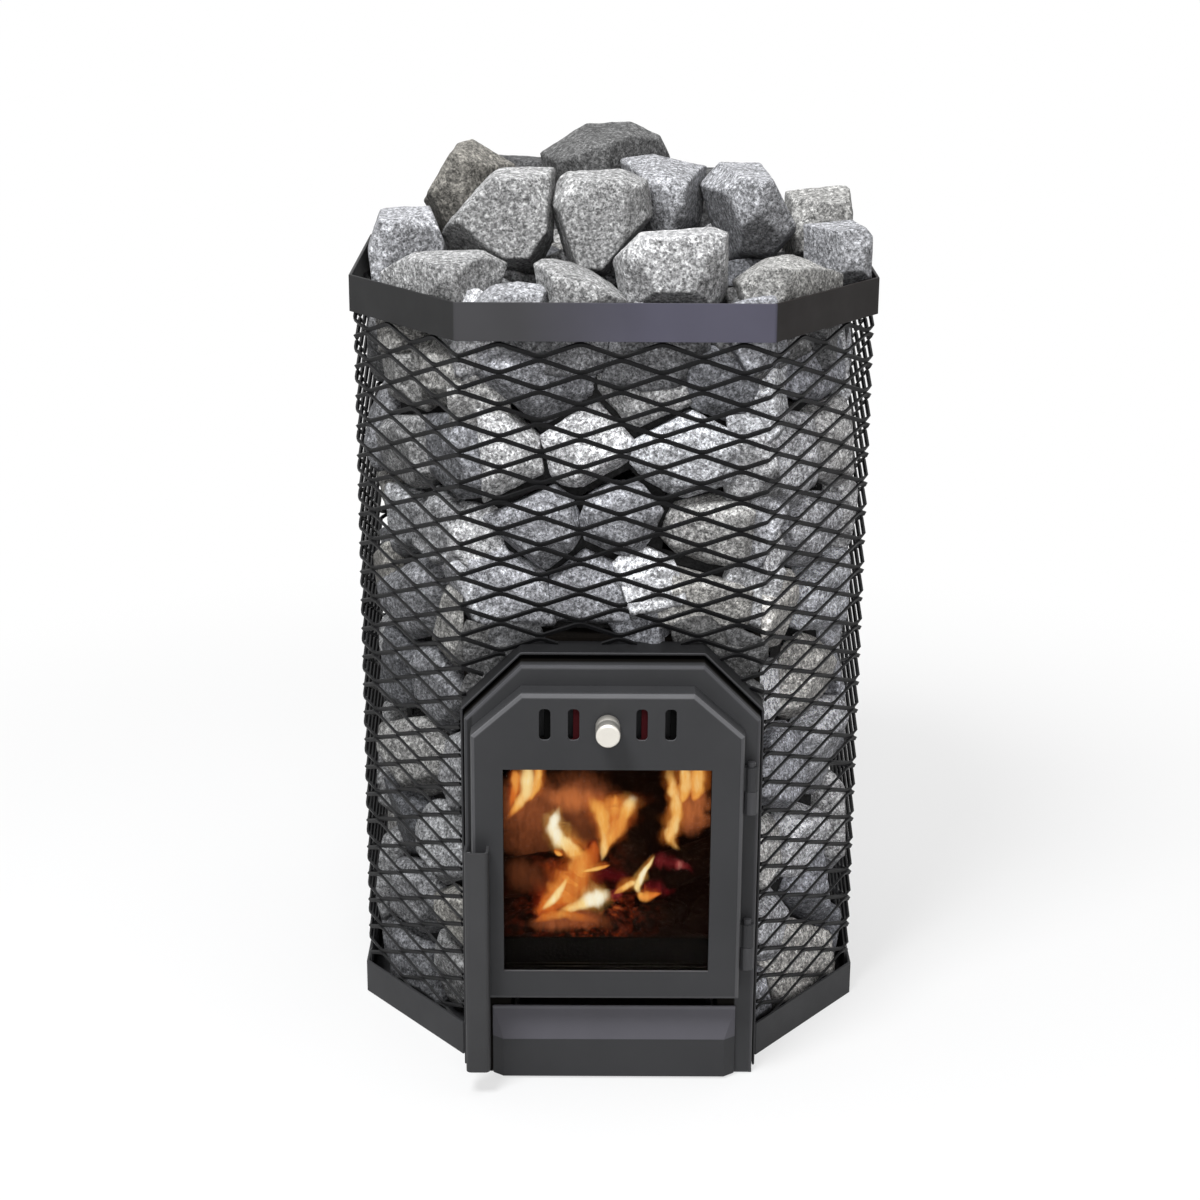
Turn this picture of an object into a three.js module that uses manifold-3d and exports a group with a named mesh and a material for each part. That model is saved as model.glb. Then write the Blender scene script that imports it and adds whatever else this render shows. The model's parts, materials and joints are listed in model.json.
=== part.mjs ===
// Wood-burning sauna heater: an octagonal mesh cage full of stones round a firebox,
// with a glazed door, an air slider, a turning handle and an ash drawer.
// Millimetres, +Z up, origin on the floor under the middle of the cage, front towards -Y.

import * as THREE from "three";
import { ConvexGeometry } from "three/addons/geometries/ConvexGeometry.js";
import { mergeGeometries, mergeVertices } from "three/addons/utils/BufferGeometryUtils.js";
import Module from "manifold-3d";

const wasm = await Module();
wasm.setup();

// Fits between pieces
const FIT = 0.3;
const SLIDING_FIT = 0.5;
const TURNING_FIT = 0.3;

// How far a cut runs past the face that it opens
const CUT_PAST = 1;

// Steps on round forms
const ARC_STEPS = 2;
const ROD_SIDES = 12;
const KNOB_SIDES = 16;
const FLUE_SIDES = 20;

// Casing bands and base
const CASING_WIDTH = 520;
const CASING_DEPTH = 520;
const FRONT_FACE = 298;
const SIDE_FACE = 240;
const RIM_TOP = 778;
const RIM_BAND = 36.5;
const RING_BAND = 36;
const BAND_SHEET = 3;
const BASE_SHEET = 3;

// Expanded-metal mesh
const MESH_SHEET = 3;
const MESH_SHORT_WAY = 61;
const MESH_STRAND = 4;
const MESH_BELOW_RIM_TOP = 8;

// Diamonds across each wall, chosen so that the pattern runs on round the corners
const DIAMONDS_ACROSS = { front: 2, rear: 2, right: 1.5, left: 1.5, chamfer: 1 };

// Portal hood round the door frame
const HOOD_STANDS_PROUD = 20;
const HOOD_REACHES_IN = 15;
const HOOD_SIDE_INSET = 2;
const HOOD_TOP = 443;
const HOOD_CHAMFER = 58;
const HOOD_SHEET = 2.5;

// Door frame
const FRAME_STANDS_PROUD = 37;
const FRAME_DEPTH = 57;
const FRAME_WIDTH = 286;
const FRAME_TOP = 436;
const FRAME_CHAMFER = 55;
const FRAME_SHEET = 3;
const FRAME_EDGE_RADIUS = 4;
const FRAME_OPENING_MARGIN = 4;

// Firebox
const FIREBOX_WIDTH = 290;
const FIREBOX_LENGTH = 390;
const FIREBOX_TOP = 445;
const FIREBOX_PLATE = 4;
const GRATE_HEIGHT = 88;
const GRATE_THICKNESS = 12;
const GRATE_SLOT = 8;
const GRATE_SLOT_LENGTH = 200;
const GRATE_SLOT_PITCH = 20;
const GRATE_SLOT_COUNT = 7;
const GRATE_BACK_SET = 105;
const BAFFLE_HEIGHT = 305;
const BAFFLE_THICKNESS = 6;
const BAFFLE_FRONT_GAP = 120;

// Flue outlet through the rear
const FLUE_BORE = 112;
const FLUE_WALL = 3;
const FLUE_HEIGHT = 378;
const FLUE_STANDS_PROUD = 40;
const FLUE_FLANGE = 132;
const FLUE_FLANGE_SHEET = 4;
const FLUE_PLATE_HEIGHT = 150;

// Door
const DOOR_WIDTH = 262.5;
const DOOR_OFFSET = -4.7;
const DOOR_BOTTOM = 95;
const DOOR_TOP = 416;
const DOOR_CHAMFER_RUN = 48.5;
const DOOR_CHAMFER_DROP = 43;
const DOOR_DEPTH = 24;
const DOOR_SHEET = 3;
const DOOR_EDGE_RADIUS = 5;
const DOOR_TO_FRAME = 1;

// Glass and its stack behind the door sheet
const DOOR_STILE = 31;
const GLASS_OPENING_HEIGHT = 213;
const GLASS_LAP = 9;
const GLASS_THICKNESS = 5;
const GASKET_THICKNESS = 2;
const GASKET_SETBACK = 1;
const RETAINER_SHEET = 3;
const RETAINER_WALL = 4;
const SEAL_WIDTH = 8;

// Air slots, slider and knob
const SLOT_WIDTH = 11;
const SLOT_HEIGHT = 32;
const SLOT_HEIGHT_ABOVE_FLOOR = 385;
const SLOT_CORNER = 4;
const SLOT_FROM_DOOR_EDGE = 71.25;
const SLOT_MIDDLE_GAP = 65;
const SLIDER_TRAVEL = 7;
const SLIDER_SHEET = 2;
const SLIDER_LAP = 3;
const SLIDER_END = 4;
const WINDOW_EXTRA = 1;
const GUIDE_LIP = 3;
const GUIDE_HEIGHT = 6;
const GUIDE_SHEET = 3;
const GUIDE_STRAP = 8;
const KNOB_DIAMETER = 23.5;
const KNOB_LENGTH = 28;
const KNOB_GROOVE = 1.2;
const KNOB_CHAMFER = 2.4;
const KNOB_STANDOFF = 2.5;
const STEM_DIAMETER = 8;

// Handle and latch
const HANDLE_WIDTH = 23.5;
const HANDLE_DEPTH = 20;
const HANDLE_BOTTOM = 27;
const HANDLE_TOP = 262;
const HANDLE_SHEET = 2.5;
const HANDLE_CORNER = 5;
const HANDLE_PAST_DOOR = 6;
const HANDLE_STANDOFF = 4;
const HANDLE_HUB_HEIGHT = 20;
const SPINDLE_DIAMETER = 8;
const SPINDLE_FROM_DOOR_EDGE = 8;
const SPINDLE_HEIGHT = 232;
const TONGUE_HUB = 12;
const TONGUE_HEIGHT = 8;
const TONGUE_SHEET = 5;
const TONGUE_PAST_DOOR = 5;
const TONGUE_LIFT = 13;
const KEEPER_SHEET = 1.5;
const KEEPER_LIP = 2.5;
const KEEPER_HEIGHT = 8;
const KEEPER_CLEAR = 3;

// Hinges
const HINGE_FROM_DOOR_EDGE = 7.5;
const HINGE_FROM_FRAME = 8;
const HINGE_PIN = 8;
const HINGE_KNUCKLE = 14;
const HINGE_KNUCKLE_HEIGHT = 24;
const HINGE_PIN_SHOWS = 5;
const HINGE_LEAF_SHEET = 3;
const HINGE_LEAF_WIDTH = 14;
const HINGE_ARM = 8;
const UPPER_HINGE_HEIGHT = 312;
const LOWER_HINGE_HEIGHT = 146;

// Ash drawer
const DRAWER_LEFT_GAP = 1;
const DRAWER_WIDTH = 242.5;
const DRAWER_BOTTOM = 2;
const DRAWER_TOP = 77;
const DRAWER_BEVEL_START = 44;
const DRAWER_FRONT_DEPTH = 10.5;
const DRAWER_EDGE = 2.5;
const DRAWER_SIDE_BEVEL = 11;
const TRAY_WIDTH = 200;
const TRAY_LENGTH = 330;
const TRAY_BOTTOM = 10;
const TRAY_TOP = 70;
const TRAY_SHEET = 2;
const TRAY_MOUTH_CLEAR = 3;
const AIR_GAP_ABOVE_DRAWER = 14;
const RUNNER_WIDTH = 12;
const RUNNER_UPSTAND = 14;
const RUNNER_SHEET = 2;
const RUNNER_LENGTH = 300;
const RUNNER_CROSS_STRIP = 20;

// Stones
const STONE_CLEAR_OF_MESH = 1;
const STONE_GAP = 0.6;
const STONE_BED = 735;
const CORE_TOP = 766;
const CORE_FRONT = -105;
const CORE_REAR = 170;
const STONE_BACK = [0.7, 0.7];

// Stones behind the mesh: their pitch along a wall and up it, and how far each strays from its place
const ROCK_PITCH = [105, 82];
const ROCK_STAGGER = 0.2;
const ROCK_STRAY = 0.36;
const ROCK_LEAST_EDGE = 22;

// Depths behind the mesh, and shares of a stone's cell that its back, its middle and its face take up
const ROCK_FACE_DEPTH = [4, 11];
const ROCK_SHOULDER_DEPTH = [15, 24];
const ROCK_CORE_DEPTH = 40;
const ROCK_BACK_DEPTH = 48;
const ROCK_FACE = [0.45, 0.7];
const ROCK_SHOULDER = [0.88, 0.97];
const ROCK_BACK = 0.8;
const ROCK_TILT = 0.24;
const ROCK_TAPER = 0.5;
const ROCK_SEEDS = { left: 21, right: 34, rear: 8, above: 5 };

// Stones that can be told apart on the heap, in hundredths of the casing's width: the outline of the
// stone's middle in the front view as x and rise above the rim, then how far its front face is shifted
// across and up, and the face's share of the outline's width and height
const RIM_STONES = [
  { name: "far_left", y: -15, depth: 22, shift: [0, 1], face: [0.85, 0.8],
    outline: [[-47, 4], [-44.5, 11.5], [-30.5, 12], [-32, -8], [-46, -8]] },
  { name: "right_back", y: 12, depth: 21, shift: [0, 3], face: [0.8, 0.5],
    outline: [[34.5, 11], [47.5, 12.5], [48.5, 6], [47, -8], [34, -8]] },
  { name: "far_right", y: -14, depth: 22, shift: [3, 4.5], face: [0.55, 0.45],
    outline: [[36, 8.5], [45.5, 9.5], [50.5, 2], [50.5, -8], [37, -8]] },
  { name: "front_left", y: -33, depth: 23, shift: [2, 1.5], face: [0.75, 0.6],
    outline: [[-45.5, 1.5], [-37, 6], [-24, 6.5], [-19.5, 4], [-24, -8], [-42, -8]] },
  { name: "front_small", y: -42, depth: 12, shift: [0, 0], face: [0.75, 0.7],
    outline: [[-26.5, -1.5], [-22.5, 1.5], [-17.5, 2.5], [-11.5, 1.5], [-12, -8], [-26, -8]] },
  { name: "front_wedge", y: -36, depth: 20, shift: [-1, 1], face: [0.8, 0.7],
    outline: [[-15, 4.5], [-13.5, 5.5], [-8.5, 4.5], [-3.5, 2.5], [3.5, -2], [2, -8], [-13, -8]] },
  { name: "front_slab", y: -33, depth: 22, shift: [0, 4], face: [0.85, 0.55],
    outline: [[-1.5, 4], [4.5, 10], [18, 11], [21, 10], [21, -1], [18, -8], [2, -8]] },
  { name: "front_right", y: -33, depth: 22, shift: [-2, 2], face: [0.7, 0.6],
    outline: [[21.5, 1], [27, 5], [32.5, 6], [43.5, 2], [43, -8], [24, -8]] },
  { name: "left_rear", y: 15, depth: 23, shift: [0, 1], face: [0.7, 0.7],
    outline: [[-49, 3], [-44, 6], [-33, 7], [-29, -8], [-48, -8]] },
  { name: "rear_left", y: 39, depth: 20, shift: [0, 2], face: [0.7, 0.7],
    outline: [[-33, 3], [-24, 14.5], [-12, 14], [-1, 7], [-2, -8], [-30, -8]] },
  { name: "rear_right", y: 39, depth: 20, shift: [0, 2], face: [0.7, 0.7],
    outline: [[1, 6], [12, 12], [26, 12], [34, 4], [31, -8], [2, -8]] },
];
const CORE_STONES = [
  { name: "dome", y: 15, depth: 25, shift: [0, 1], face: [0.7, 0.6],
    outline: [[-15, 18], [-5.5, 24], [3.5, 24.4], [9.5, 21.5], [12.5, 15.5], [9, -2], [-10, -2]] },
  { name: "left_back", y: 9, depth: 21, shift: [-3, 4], face: [0.5, 0.5],
    outline: [[-38, 9], [-31, 20.5], [-28, 21.5], [-19.5, 16.5], [-17, -2], [-32, -2]] },
  { name: "left_middle", y: -13, depth: 21, shift: [-0.5, 2.5], face: [0.9, 0.72],
    outline: [[-34, 4.5], [-22.5, 19], [-10.5, 19], [-11, 5.5], [-15, -2], [-29, -2]] },
  { name: "centre", y: -15, depth: 21, shift: [0, 1], face: [0.8, 0.8],
    outline: [[-12.5, 12.5], [-10, 18.5], [1.5, 19], [6.5, 17], [7.5, 10], [-2, -2], [-8, -2]] },
  { name: "centre_right", y: 3, depth: 34, shift: [0, 2], face: [0.4, 0.55],
    outline: [[1, 18.5], [7.5, 19.5], [19, 17], [17.5, 6], [12, -2], [6, -2]] },
  { name: "right_slab", y: -1, depth: 38, shift: [3, 3], face: [0.6, 0.6],
    outline: [[16.5, 14], [20.5, 18.5], [28.5, 18.5], [36, 5], [30, -2], [22, -2], [18, 10]] },
];

// Places worked out from the driving sizes
const FRONT = -CASING_DEPTH / 2;
const REAR = CASING_DEPTH / 2;
const MESH_OUTER_INSET = BAND_SHEET + FIT;
const MESH_INNER_INSET = MESH_OUTER_INSET + MESH_SHEET;
const FRAME_FRONT = FRONT - FRAME_STANDS_PROUD;
const FRAME_BACK = FRAME_FRONT + FRAME_DEPTH;
const FIREBOX_FRONT = FRAME_BACK + FIT;
const FIREBOX_BACK = FIREBOX_FRONT + FIREBOX_LENGTH;
const FIREBOX_BOTTOM = BASE_SHEET + FIT;
const FIREBOX_INNER_FRONT = FIREBOX_FRONT + FIREBOX_PLATE + FIT;
const FIREBOX_INNER_BACK = FIREBOX_BACK - FIREBOX_PLATE - FIT;
const DOOR_BACK = FRAME_FRONT - DOOR_TO_FRAME;
const DOOR_FRONT = DOOR_BACK - DOOR_DEPTH;
const DOOR_INNER = DOOR_FRONT + DOOR_SHEET;
const DOOR_LEFT = DOOR_OFFSET - DOOR_WIDTH / 2;
const DOOR_RIGHT = DOOR_OFFSET + DOOR_WIDTH / 2;
const GLASS_OPENING_WIDTH = DOOR_WIDTH - 2 * DOOR_STILE;
const GLASS_OPENING_BOTTOM = DOOR_BOTTOM + DOOR_STILE;
const GLASS_OPENING_TOP = GLASS_OPENING_BOTTOM + GLASS_OPENING_HEIGHT;
const GASKET_FRONT = DOOR_INNER + FIT;
const GLASS_FRONT = GASKET_FRONT + GASKET_THICKNESS + FIT;
const RETAINER_FRONT = GLASS_FRONT + GLASS_THICKNESS + FIT;
const RETAINER_BACK = RETAINER_FRONT + RETAINER_SHEET;
const RETAINER_REACH = GLASS_LAP + FIT + RETAINER_WALL;
const SLIDER_FRONT = DOOR_INNER + SLIDING_FIT;
const SLIDER_BACK = SLIDER_FRONT + SLIDER_SHEET;
const SLIDER_BOTTOM = SLOT_HEIGHT_ABOVE_FLOOR - SLOT_HEIGHT / 2 - SLIDER_LAP;
const SLIDER_TOP = SLOT_HEIGHT_ABOVE_FLOOR + SLOT_HEIGHT / 2 + SLIDER_LAP;
const SLOT_PITCH = (DOOR_WIDTH - SLOT_MIDDLE_GAP) / 2 - SLOT_FROM_DOOR_EDGE;
const SLOT_PLACES = [-1, 1].flatMap((side) => (
  [0, 1].map((n) => side * (SLOT_MIDDLE_GAP / 2 + n * SLOT_PITCH))
));
const HANDLE_LEFT = DOOR_LEFT - HANDLE_PAST_DOOR;
const HANDLE_RIGHT = HANDLE_LEFT + HANDLE_WIDTH;
const HANDLE_BACK = DOOR_FRONT - HANDLE_STANDOFF;
const HANDLE_FRONT = HANDLE_BACK - HANDLE_DEPTH;
const SPINDLE_X = DOOR_LEFT + SPINDLE_FROM_DOOR_EDGE;
const TONGUE_BACK = FRAME_FRONT - HINGE_LEAF_SHEET - DOOR_TO_FRAME;
const TONGUE_FRONT = TONGUE_BACK - TONGUE_SHEET;
const HINGE_X = DOOR_RIGHT + HINGE_FROM_DOOR_EDGE;
const HINGE_Y = FRAME_FRONT - HINGE_FROM_FRAME;
const DRAWER_LEFT = HANDLE_RIGHT + DRAWER_LEFT_GAP;
const DRAWER_RIGHT = DRAWER_LEFT + DRAWER_WIDTH;
const DRAWER_MIDDLE = (DRAWER_LEFT + DRAWER_RIGHT) / 2;
const DRAWER_BACK = FRAME_FRONT - SLIDING_FIT;
const DRAWER_FRONT = DRAWER_BACK - DRAWER_FRONT_DEPTH;
const TRAY_FRONT = DRAWER_BACK + FIT;
const FLUE_PLATE_BOTTOM = FLUE_HEIGHT - FLUE_PLATE_HEIGHT / 2;
const FLUE_PLATE_TOP = FLUE_HEIGHT + FLUE_PLATE_HEIGHT / 2;
const MESH_BOTTOM = BASE_SHEET + FIT;
const MESH_TOP = RIM_TOP - MESH_BELOW_RIM_TOP;
const STONE_FLOOR = BASE_SHEET + STONE_GAP;
const CORE_HALF_WIDTH = FIREBOX_WIDTH / 2 - STONE_GAP;
const SPAN = 3 * (CASING_WIDTH + CASING_DEPTH + RIM_TOP);

// Finishes
const heatPaint = new THREE.MeshStandardMaterial({ color: 0x3b3c3f, roughness: 0.6, metalness: 0.5 });
const meshPaint = new THREE.MeshStandardMaterial({ color: 0x232325, roughness: 0.65, metalness: 0.4 });
const bareSteel = new THREE.MeshStandardMaterial({ color: 0x55565a, roughness: 0.5, metalness: 0.8 });
const castIron = new THREE.MeshStandardMaterial({ color: 0x2b2b2c, roughness: 0.8, metalness: 0.5 });
const polished = new THREE.MeshStandardMaterial({ color: 0xe6e2dc, roughness: 0.15, metalness: 1 });
const glass = new THREE.MeshStandardMaterial({
  color: 0x30241c, roughness: 0.05, metalness: 0, transparent: true, opacity: 0.35,
});
const rope = new THREE.MeshStandardMaterial({ color: 0x6e6c66, roughness: 0.95, metalness: 0 });
const granite = new THREE.MeshStandardMaterial({ color: 0x8a8b8d, roughness: 0.9, metalness: 0 });

// Solids

function toSolid(geometry) {
  const bare = geometry.clone();
  bare.deleteAttribute("normal");
  bare.deleteAttribute("uv");
  const merged = mergeVertices(bare);
  return new wasm.Manifold(new wasm.Mesh({
    numProp: 3,
    vertProperties: new Float32Array(merged.attributes.position.array),
    triVerts: new Uint32Array(merged.index.array),
  }));
}

function toGeometry(solid) {
  const mesh = solid.getMesh();
  const geometry = new THREE.BufferGeometry();
  geometry.setAttribute("position", new THREE.BufferAttribute(mesh.vertProperties, 3));
  geometry.setIndex(new THREE.BufferAttribute(mesh.triVerts, 1));
  const facets = geometry.toNonIndexed();
  facets.computeVertexNormals();
  return facets;
}

function piece(name, solid, material) {
  const mesh = new THREE.Mesh(toGeometry(solid), material);
  mesh.name = name;
  return mesh;
}

function join(solids) {
  return solids.reduce((all, solid) => all.add(solid));
}

function largest(solid) {
  return solid.decompose().reduce((best, next) => (next.volume() > best.volume() ? next : best));
}

function block([x0, x1], [y0, y1], [z0, z1]) {
  const box = new THREE.BoxGeometry(x1 - x0, y1 - y0, z1 - z0);
  return toSolid(box.translate((x0 + x1) / 2, (y0 + y1) / 2, (z0 + z1) / 2));
}

function ordered(a, b) {
  return [Math.min(a, b), Math.max(a, b)];
}

function shapeOf(points) {
  return new THREE.Shape(points.map(([x, y]) => new THREE.Vector2(x, y)));
}

function extruded(shape, depth) {
  return new THREE.ExtrudeGeometry(shape, { depth, bevelEnabled: false, curveSegments: ARC_STEPS });
}

// A plan outline raised from one height to another
function raised(shape, z0, z1) {
  return toSolid(extruded(shape, z1 - z0).translate(0, 0, z0));
}

// An outline in the front view, given as x and height, carried from yFront back to yBack
function plate(shape, yFront, yBack) {
  return toSolid(extruded(shape, yBack - yFront).rotateX(Math.PI / 2).translate(0, yBack, 0));
}

// A front-view outline whose front edge is rounded, as on a pressed sheet
function pressedPlate(shape, yFront, yBack, radius) {
  const depth = yBack - yFront;
  const form = new THREE.ExtrudeGeometry(shape, {
    depth, bevelThickness: radius, bevelSize: radius, bevelOffset: -radius, bevelSegments: ARC_STEPS,
  });
  form.rotateX(Math.PI / 2).translate(0, yFront + depth + radius, 0);
  return cutAway(toSolid(form), new THREE.Vector3(0, yBack, 0), new THREE.Vector3(0, 1, 0));
}

// Takes off what lies beyond a plane on the side that its normal points to
function cutAway(solid, point, normal) {
  const beyond = new THREE.BoxGeometry(SPAN, SPAN, SPAN).translate(0, 0, SPAN / 2);
  const turn = new THREE.Quaternion().setFromUnitVectors(new THREE.Vector3(0, 0, 1), normal);
  beyond.applyQuaternion(turn).translate(point.x, point.y, point.z);
  return solid.subtract(toSolid(beyond));
}

function rodAlongY(x, z, diameter, yFront, yBack, sides = ROD_SIDES) {
  const rod = new THREE.CylinderGeometry(diameter / 2, diameter / 2, yBack - yFront, sides);
  return toSolid(rod.translate(x, (yFront + yBack) / 2, z));
}

function rodAlongZ(x, y, diameter, z0, z1, sides = ROD_SIDES) {
  const rod = new THREE.CylinderGeometry(diameter / 2, diameter / 2, z1 - z0, sides);
  return toSolid(rod.rotateX(Math.PI / 2).translate(x, y, (z0 + z1) / 2));
}

// Outlines

// Moves each side of a convex counter-clockwise outline inwards
function inset(points, distance) {
  const sides = points.map((from, i) => {
    const to = points[(i + 1) % points.length];
    const length = Math.hypot(to[0] - from[0], to[1] - from[1]);
    const normal = [(to[1] - from[1]) / length, (from[0] - to[0]) / length];
    return { normal, reach: normal[0] * from[0] + normal[1] * from[1] - distance };
  });
  return sides.map((side, i) => {
    const last = sides[(i + sides.length - 1) % sides.length];
    const cross = last.normal[0] * side.normal[1] - last.normal[1] * side.normal[0];
    return [
      (last.reach * side.normal[1] - side.reach * last.normal[1]) / cross,
      (last.normal[0] * side.reach - side.normal[0] * last.reach) / cross,
    ];
  });
}

function rectangle([x0, x1], [z0, z1]) {
  return [[x0, z0], [x1, z0], [x1, z1], [x0, z1]];
}

function octagon(distance) {
  const [halfFace, halfSide] = [FRONT_FACE / 2, SIDE_FACE / 2];
  const side = CASING_WIDTH / 2;
  return inset([
    [-halfFace, FRONT], [halfFace, FRONT], [side, -halfSide], [side, halfSide],
    [halfFace, REAR], [-halfFace, REAR], [-side, halfSide], [-side, -halfSide],
  ], distance);
}

// A doorway outline with its two top corners cut off
function arch(middle, width, bottom, top, run, drop) {
  const half = width / 2;
  return [
    [middle - half, bottom], [middle + half, bottom], [middle + half, top - drop],
    [middle + half - run, top], [middle - half + run, top], [middle - half, top - drop],
  ];
}

function roundedSlot(x, z, width, height, corner) {
  const [left, right, low, high] = [x - width / 2, x + width / 2, z - height / 2, z + height / 2];
  const shape = new THREE.Shape();
  shape.absarc(right - corner, low + corner, corner, -Math.PI / 2, 0);
  shape.absarc(right - corner, high - corner, corner, 0, Math.PI / 2);
  shape.absarc(left + corner, high - corner, corner, Math.PI / 2, Math.PI);
  shape.absarc(left + corner, low + corner, corner, Math.PI, 1.5 * Math.PI);
  return shape;
}

// The glass opening grown by a margin on every side
function glassOpening(margin) {
  const half = GLASS_OPENING_WIDTH / 2 + margin;
  return rectangle(
    [DOOR_OFFSET - half, DOOR_OFFSET + half],
    [GLASS_OPENING_BOTTOM - margin, GLASS_OPENING_TOP + margin],
  );
}

function trayMouth(top) {
  const half = TRAY_WIDTH / 2 + TRAY_MOUTH_CLEAR;
  return rectangle([DRAWER_MIDDLE - half, DRAWER_MIDDLE + half], [TRAY_BOTTOM - TRAY_MOUTH_CLEAR, top]);
}

// Casing

function topRim() {
  const outer = raised(shapeOf(octagon(0)), RIM_TOP - RIM_BAND, RIM_TOP);
  const inside = shapeOf(octagon(BAND_SHEET));
  const well = raised(inside, RIM_TOP - RIM_BAND - CUT_PAST, RIM_TOP + CUT_PAST);
  return piece("top_rim", outer.subtract(well), heatPaint);
}

// The bottom band runs round every face but the front, where the portal stands
function bottomRing() {
  const [outer, inner] = [octagon(0), octagon(BAND_SHEET)];
  const fromFrontRight = [1, 2, 3, 4, 5, 6, 7, 0];
  const outline = [
    ...fromFrontRight.map((i) => outer[i]),
    ...fromFrontRight.toReversed().map((i) => inner[i]),
  ];
  return piece("bottom_ring", raised(shapeOf(outline), 0, RING_BAND), heatPaint);
}

function basePlate() {
  const whole = raised(shapeOf(octagon(BAND_SHEET + FIT)), 0, BASE_SHEET);
  const frontEdge = new THREE.Vector3(0, FIREBOX_FRONT, 0);
  return piece("base_plate", cutAway(whole, frontEdge, new THREE.Vector3(0, -1, 0)), heatPaint);
}

const FACE_NAMES = [
  "front", "front_right", "right", "rear_right", "rear", "rear_left", "left", "front_left",
];

// Flat sheet with its diamonds cut out, laid out from `start` diamonds along the unrolled cage
function expandedSheet(outline, start, longWay) {
  const [halfLong, halfShort] = [longWay / 2, MESH_SHORT_WAY / 2];
  const sideDistance = (halfLong * halfShort) / Math.hypot(halfLong, halfShort);
  const opening = 1 - MESH_STRAND / 2 / sideDistance;
  const [right, top] = [0, 1].map((axis) => Math.max(...outline.map((point) => point[axis])));
  const firstColumn = Math.floor(2 * start) - 1;
  const lastColumn = Math.ceil(2 * start + right / halfLong) + 1;
  const diamonds = [];
  for (let column = firstColumn; column <= lastColumn; column += 1) {
    const offset = Math.abs(column % 2);
    for (let row = offset; row * halfShort < top + MESH_SHORT_WAY; row += 2) {
      const diamond = new THREE.CylinderGeometry(1, 1, 2 * (MESH_SHEET + CUT_PAST), 4);
      diamond.rotateX(Math.PI / 2).scale(halfLong * opening, halfShort * opening, 1);
      diamonds.push(diamond.translate((column - 2 * start) * halfLong, row * halfShort, 0));
    }
  }
  const sheet = raised(shapeOf(outline), 0, MESH_SHEET);
  return largest(sheet.subtract(toSolid(mergeGeometries(diamonds))));
}

// How far the front chamfers' sheets stop short of their front corners to pass the hood
function hoodRelief() {
  const [corner, next] = octagon(MESH_INNER_INSET).slice(1, 3);
  const lean = (next[0] - corner[0]) / Math.hypot(next[0] - corner[0], next[1] - corner[1]);
  return Math.max(0, (FRONT_FACE / 2 - HOOD_SIDE_INSET + FIT - corner[0]) / lean);
}

// The outline of each mesh sheet on its face, from the face's left end
function sheetOutlines(face, width) {
  const left = face === "front_right" ? hoodRelief() : 0;
  const right = face === "front_left" ? width - hoodRelief() : width;
  if (face === "front") {
    const hood = hoodOutline(-FIT).slice(2).toReversed();
    const [shoulder, crown] = [hood[0], hood[1]];
    const slope = (crown[1] - shoulder[1]) / (crown[0] - shoulder[0]);
    const edgeHeight = shoulder[1] + slope * Math.max(0, -width / 2 - shoulder[0]);
    const crownInset = crown[0] + width / 2;
    return {
      mesh_front: [
        [0, edgeHeight], [crownInset, crown[1]], [width - crownInset, crown[1]],
        [width, edgeHeight], [width, MESH_TOP], [0, MESH_TOP],
      ],
    };
  }
  if (face === "rear") {
    return {
      mesh_rear_lower: rectangle([0, width], [MESH_BOTTOM, FLUE_PLATE_BOTTOM - FIT]),
      mesh_rear_upper: rectangle([0, width], [FLUE_PLATE_TOP + FIT, MESH_TOP]),
    };
  }
  return { [`mesh_${face}`]: rectangle([left, right], [MESH_BOTTOM, MESH_TOP]) };
}

function meshCage() {
  const cage = new THREE.Group();
  const corners = octagon(MESH_INNER_INSET);
  const up = new THREE.Vector3(0, 0, 1);
  let start = 0;
  FACE_NAMES.forEach((face, i) => {
    const from = new THREE.Vector3(...corners[i], 0);
    const to = new THREE.Vector3(...corners[(i + 1) % corners.length], 0);
    const along = to.clone().sub(from).normalize();
    const outward = along.clone().cross(up);
    const width = from.distanceTo(to) - FIT;
    const across = DIAMONDS_ACROSS[face] ?? DIAMONDS_ACROSS.chamfer;
    const wall = new THREE.Group();
    wall.position.copy(from).addScaledVector(along, FIT / 2);
    wall.quaternion.setFromRotationMatrix(new THREE.Matrix4().makeBasis(along, up, outward));
    for (const [name, outline] of Object.entries(sheetOutlines(face, width))) {
      wall.add(piece(name, expandedSheet(outline, start, width / across), meshPaint));
    }
    cage.add(wall);
    start += across;
  });
  return cage;
}

function hoodOutline(distance) {
  const width = FRONT_FACE - 2 * HOOD_SIDE_INSET;
  return inset(arch(0, width, 0, HOOD_TOP, HOOD_CHAMFER, HOOD_CHAMFER), distance);
}

function portalHood() {
  const [yFront, yBack] = [FRONT - HOOD_STANDS_PROUD, FRONT + HOOD_REACHES_IN];
  const outer = plate(shapeOf(hoodOutline(0)), yFront, yBack);
  const openBelow = hoodOutline(HOOD_SHEET).map(([x, z], i) => [x, i < 2 ? -CUT_PAST : z]);
  const passage = plate(shapeOf(openBelow), yFront - CUT_PAST, yBack + CUT_PAST);
  return piece("portal_hood", outer.subtract(passage), heatPaint);
}

// Door frame and firebox

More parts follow.
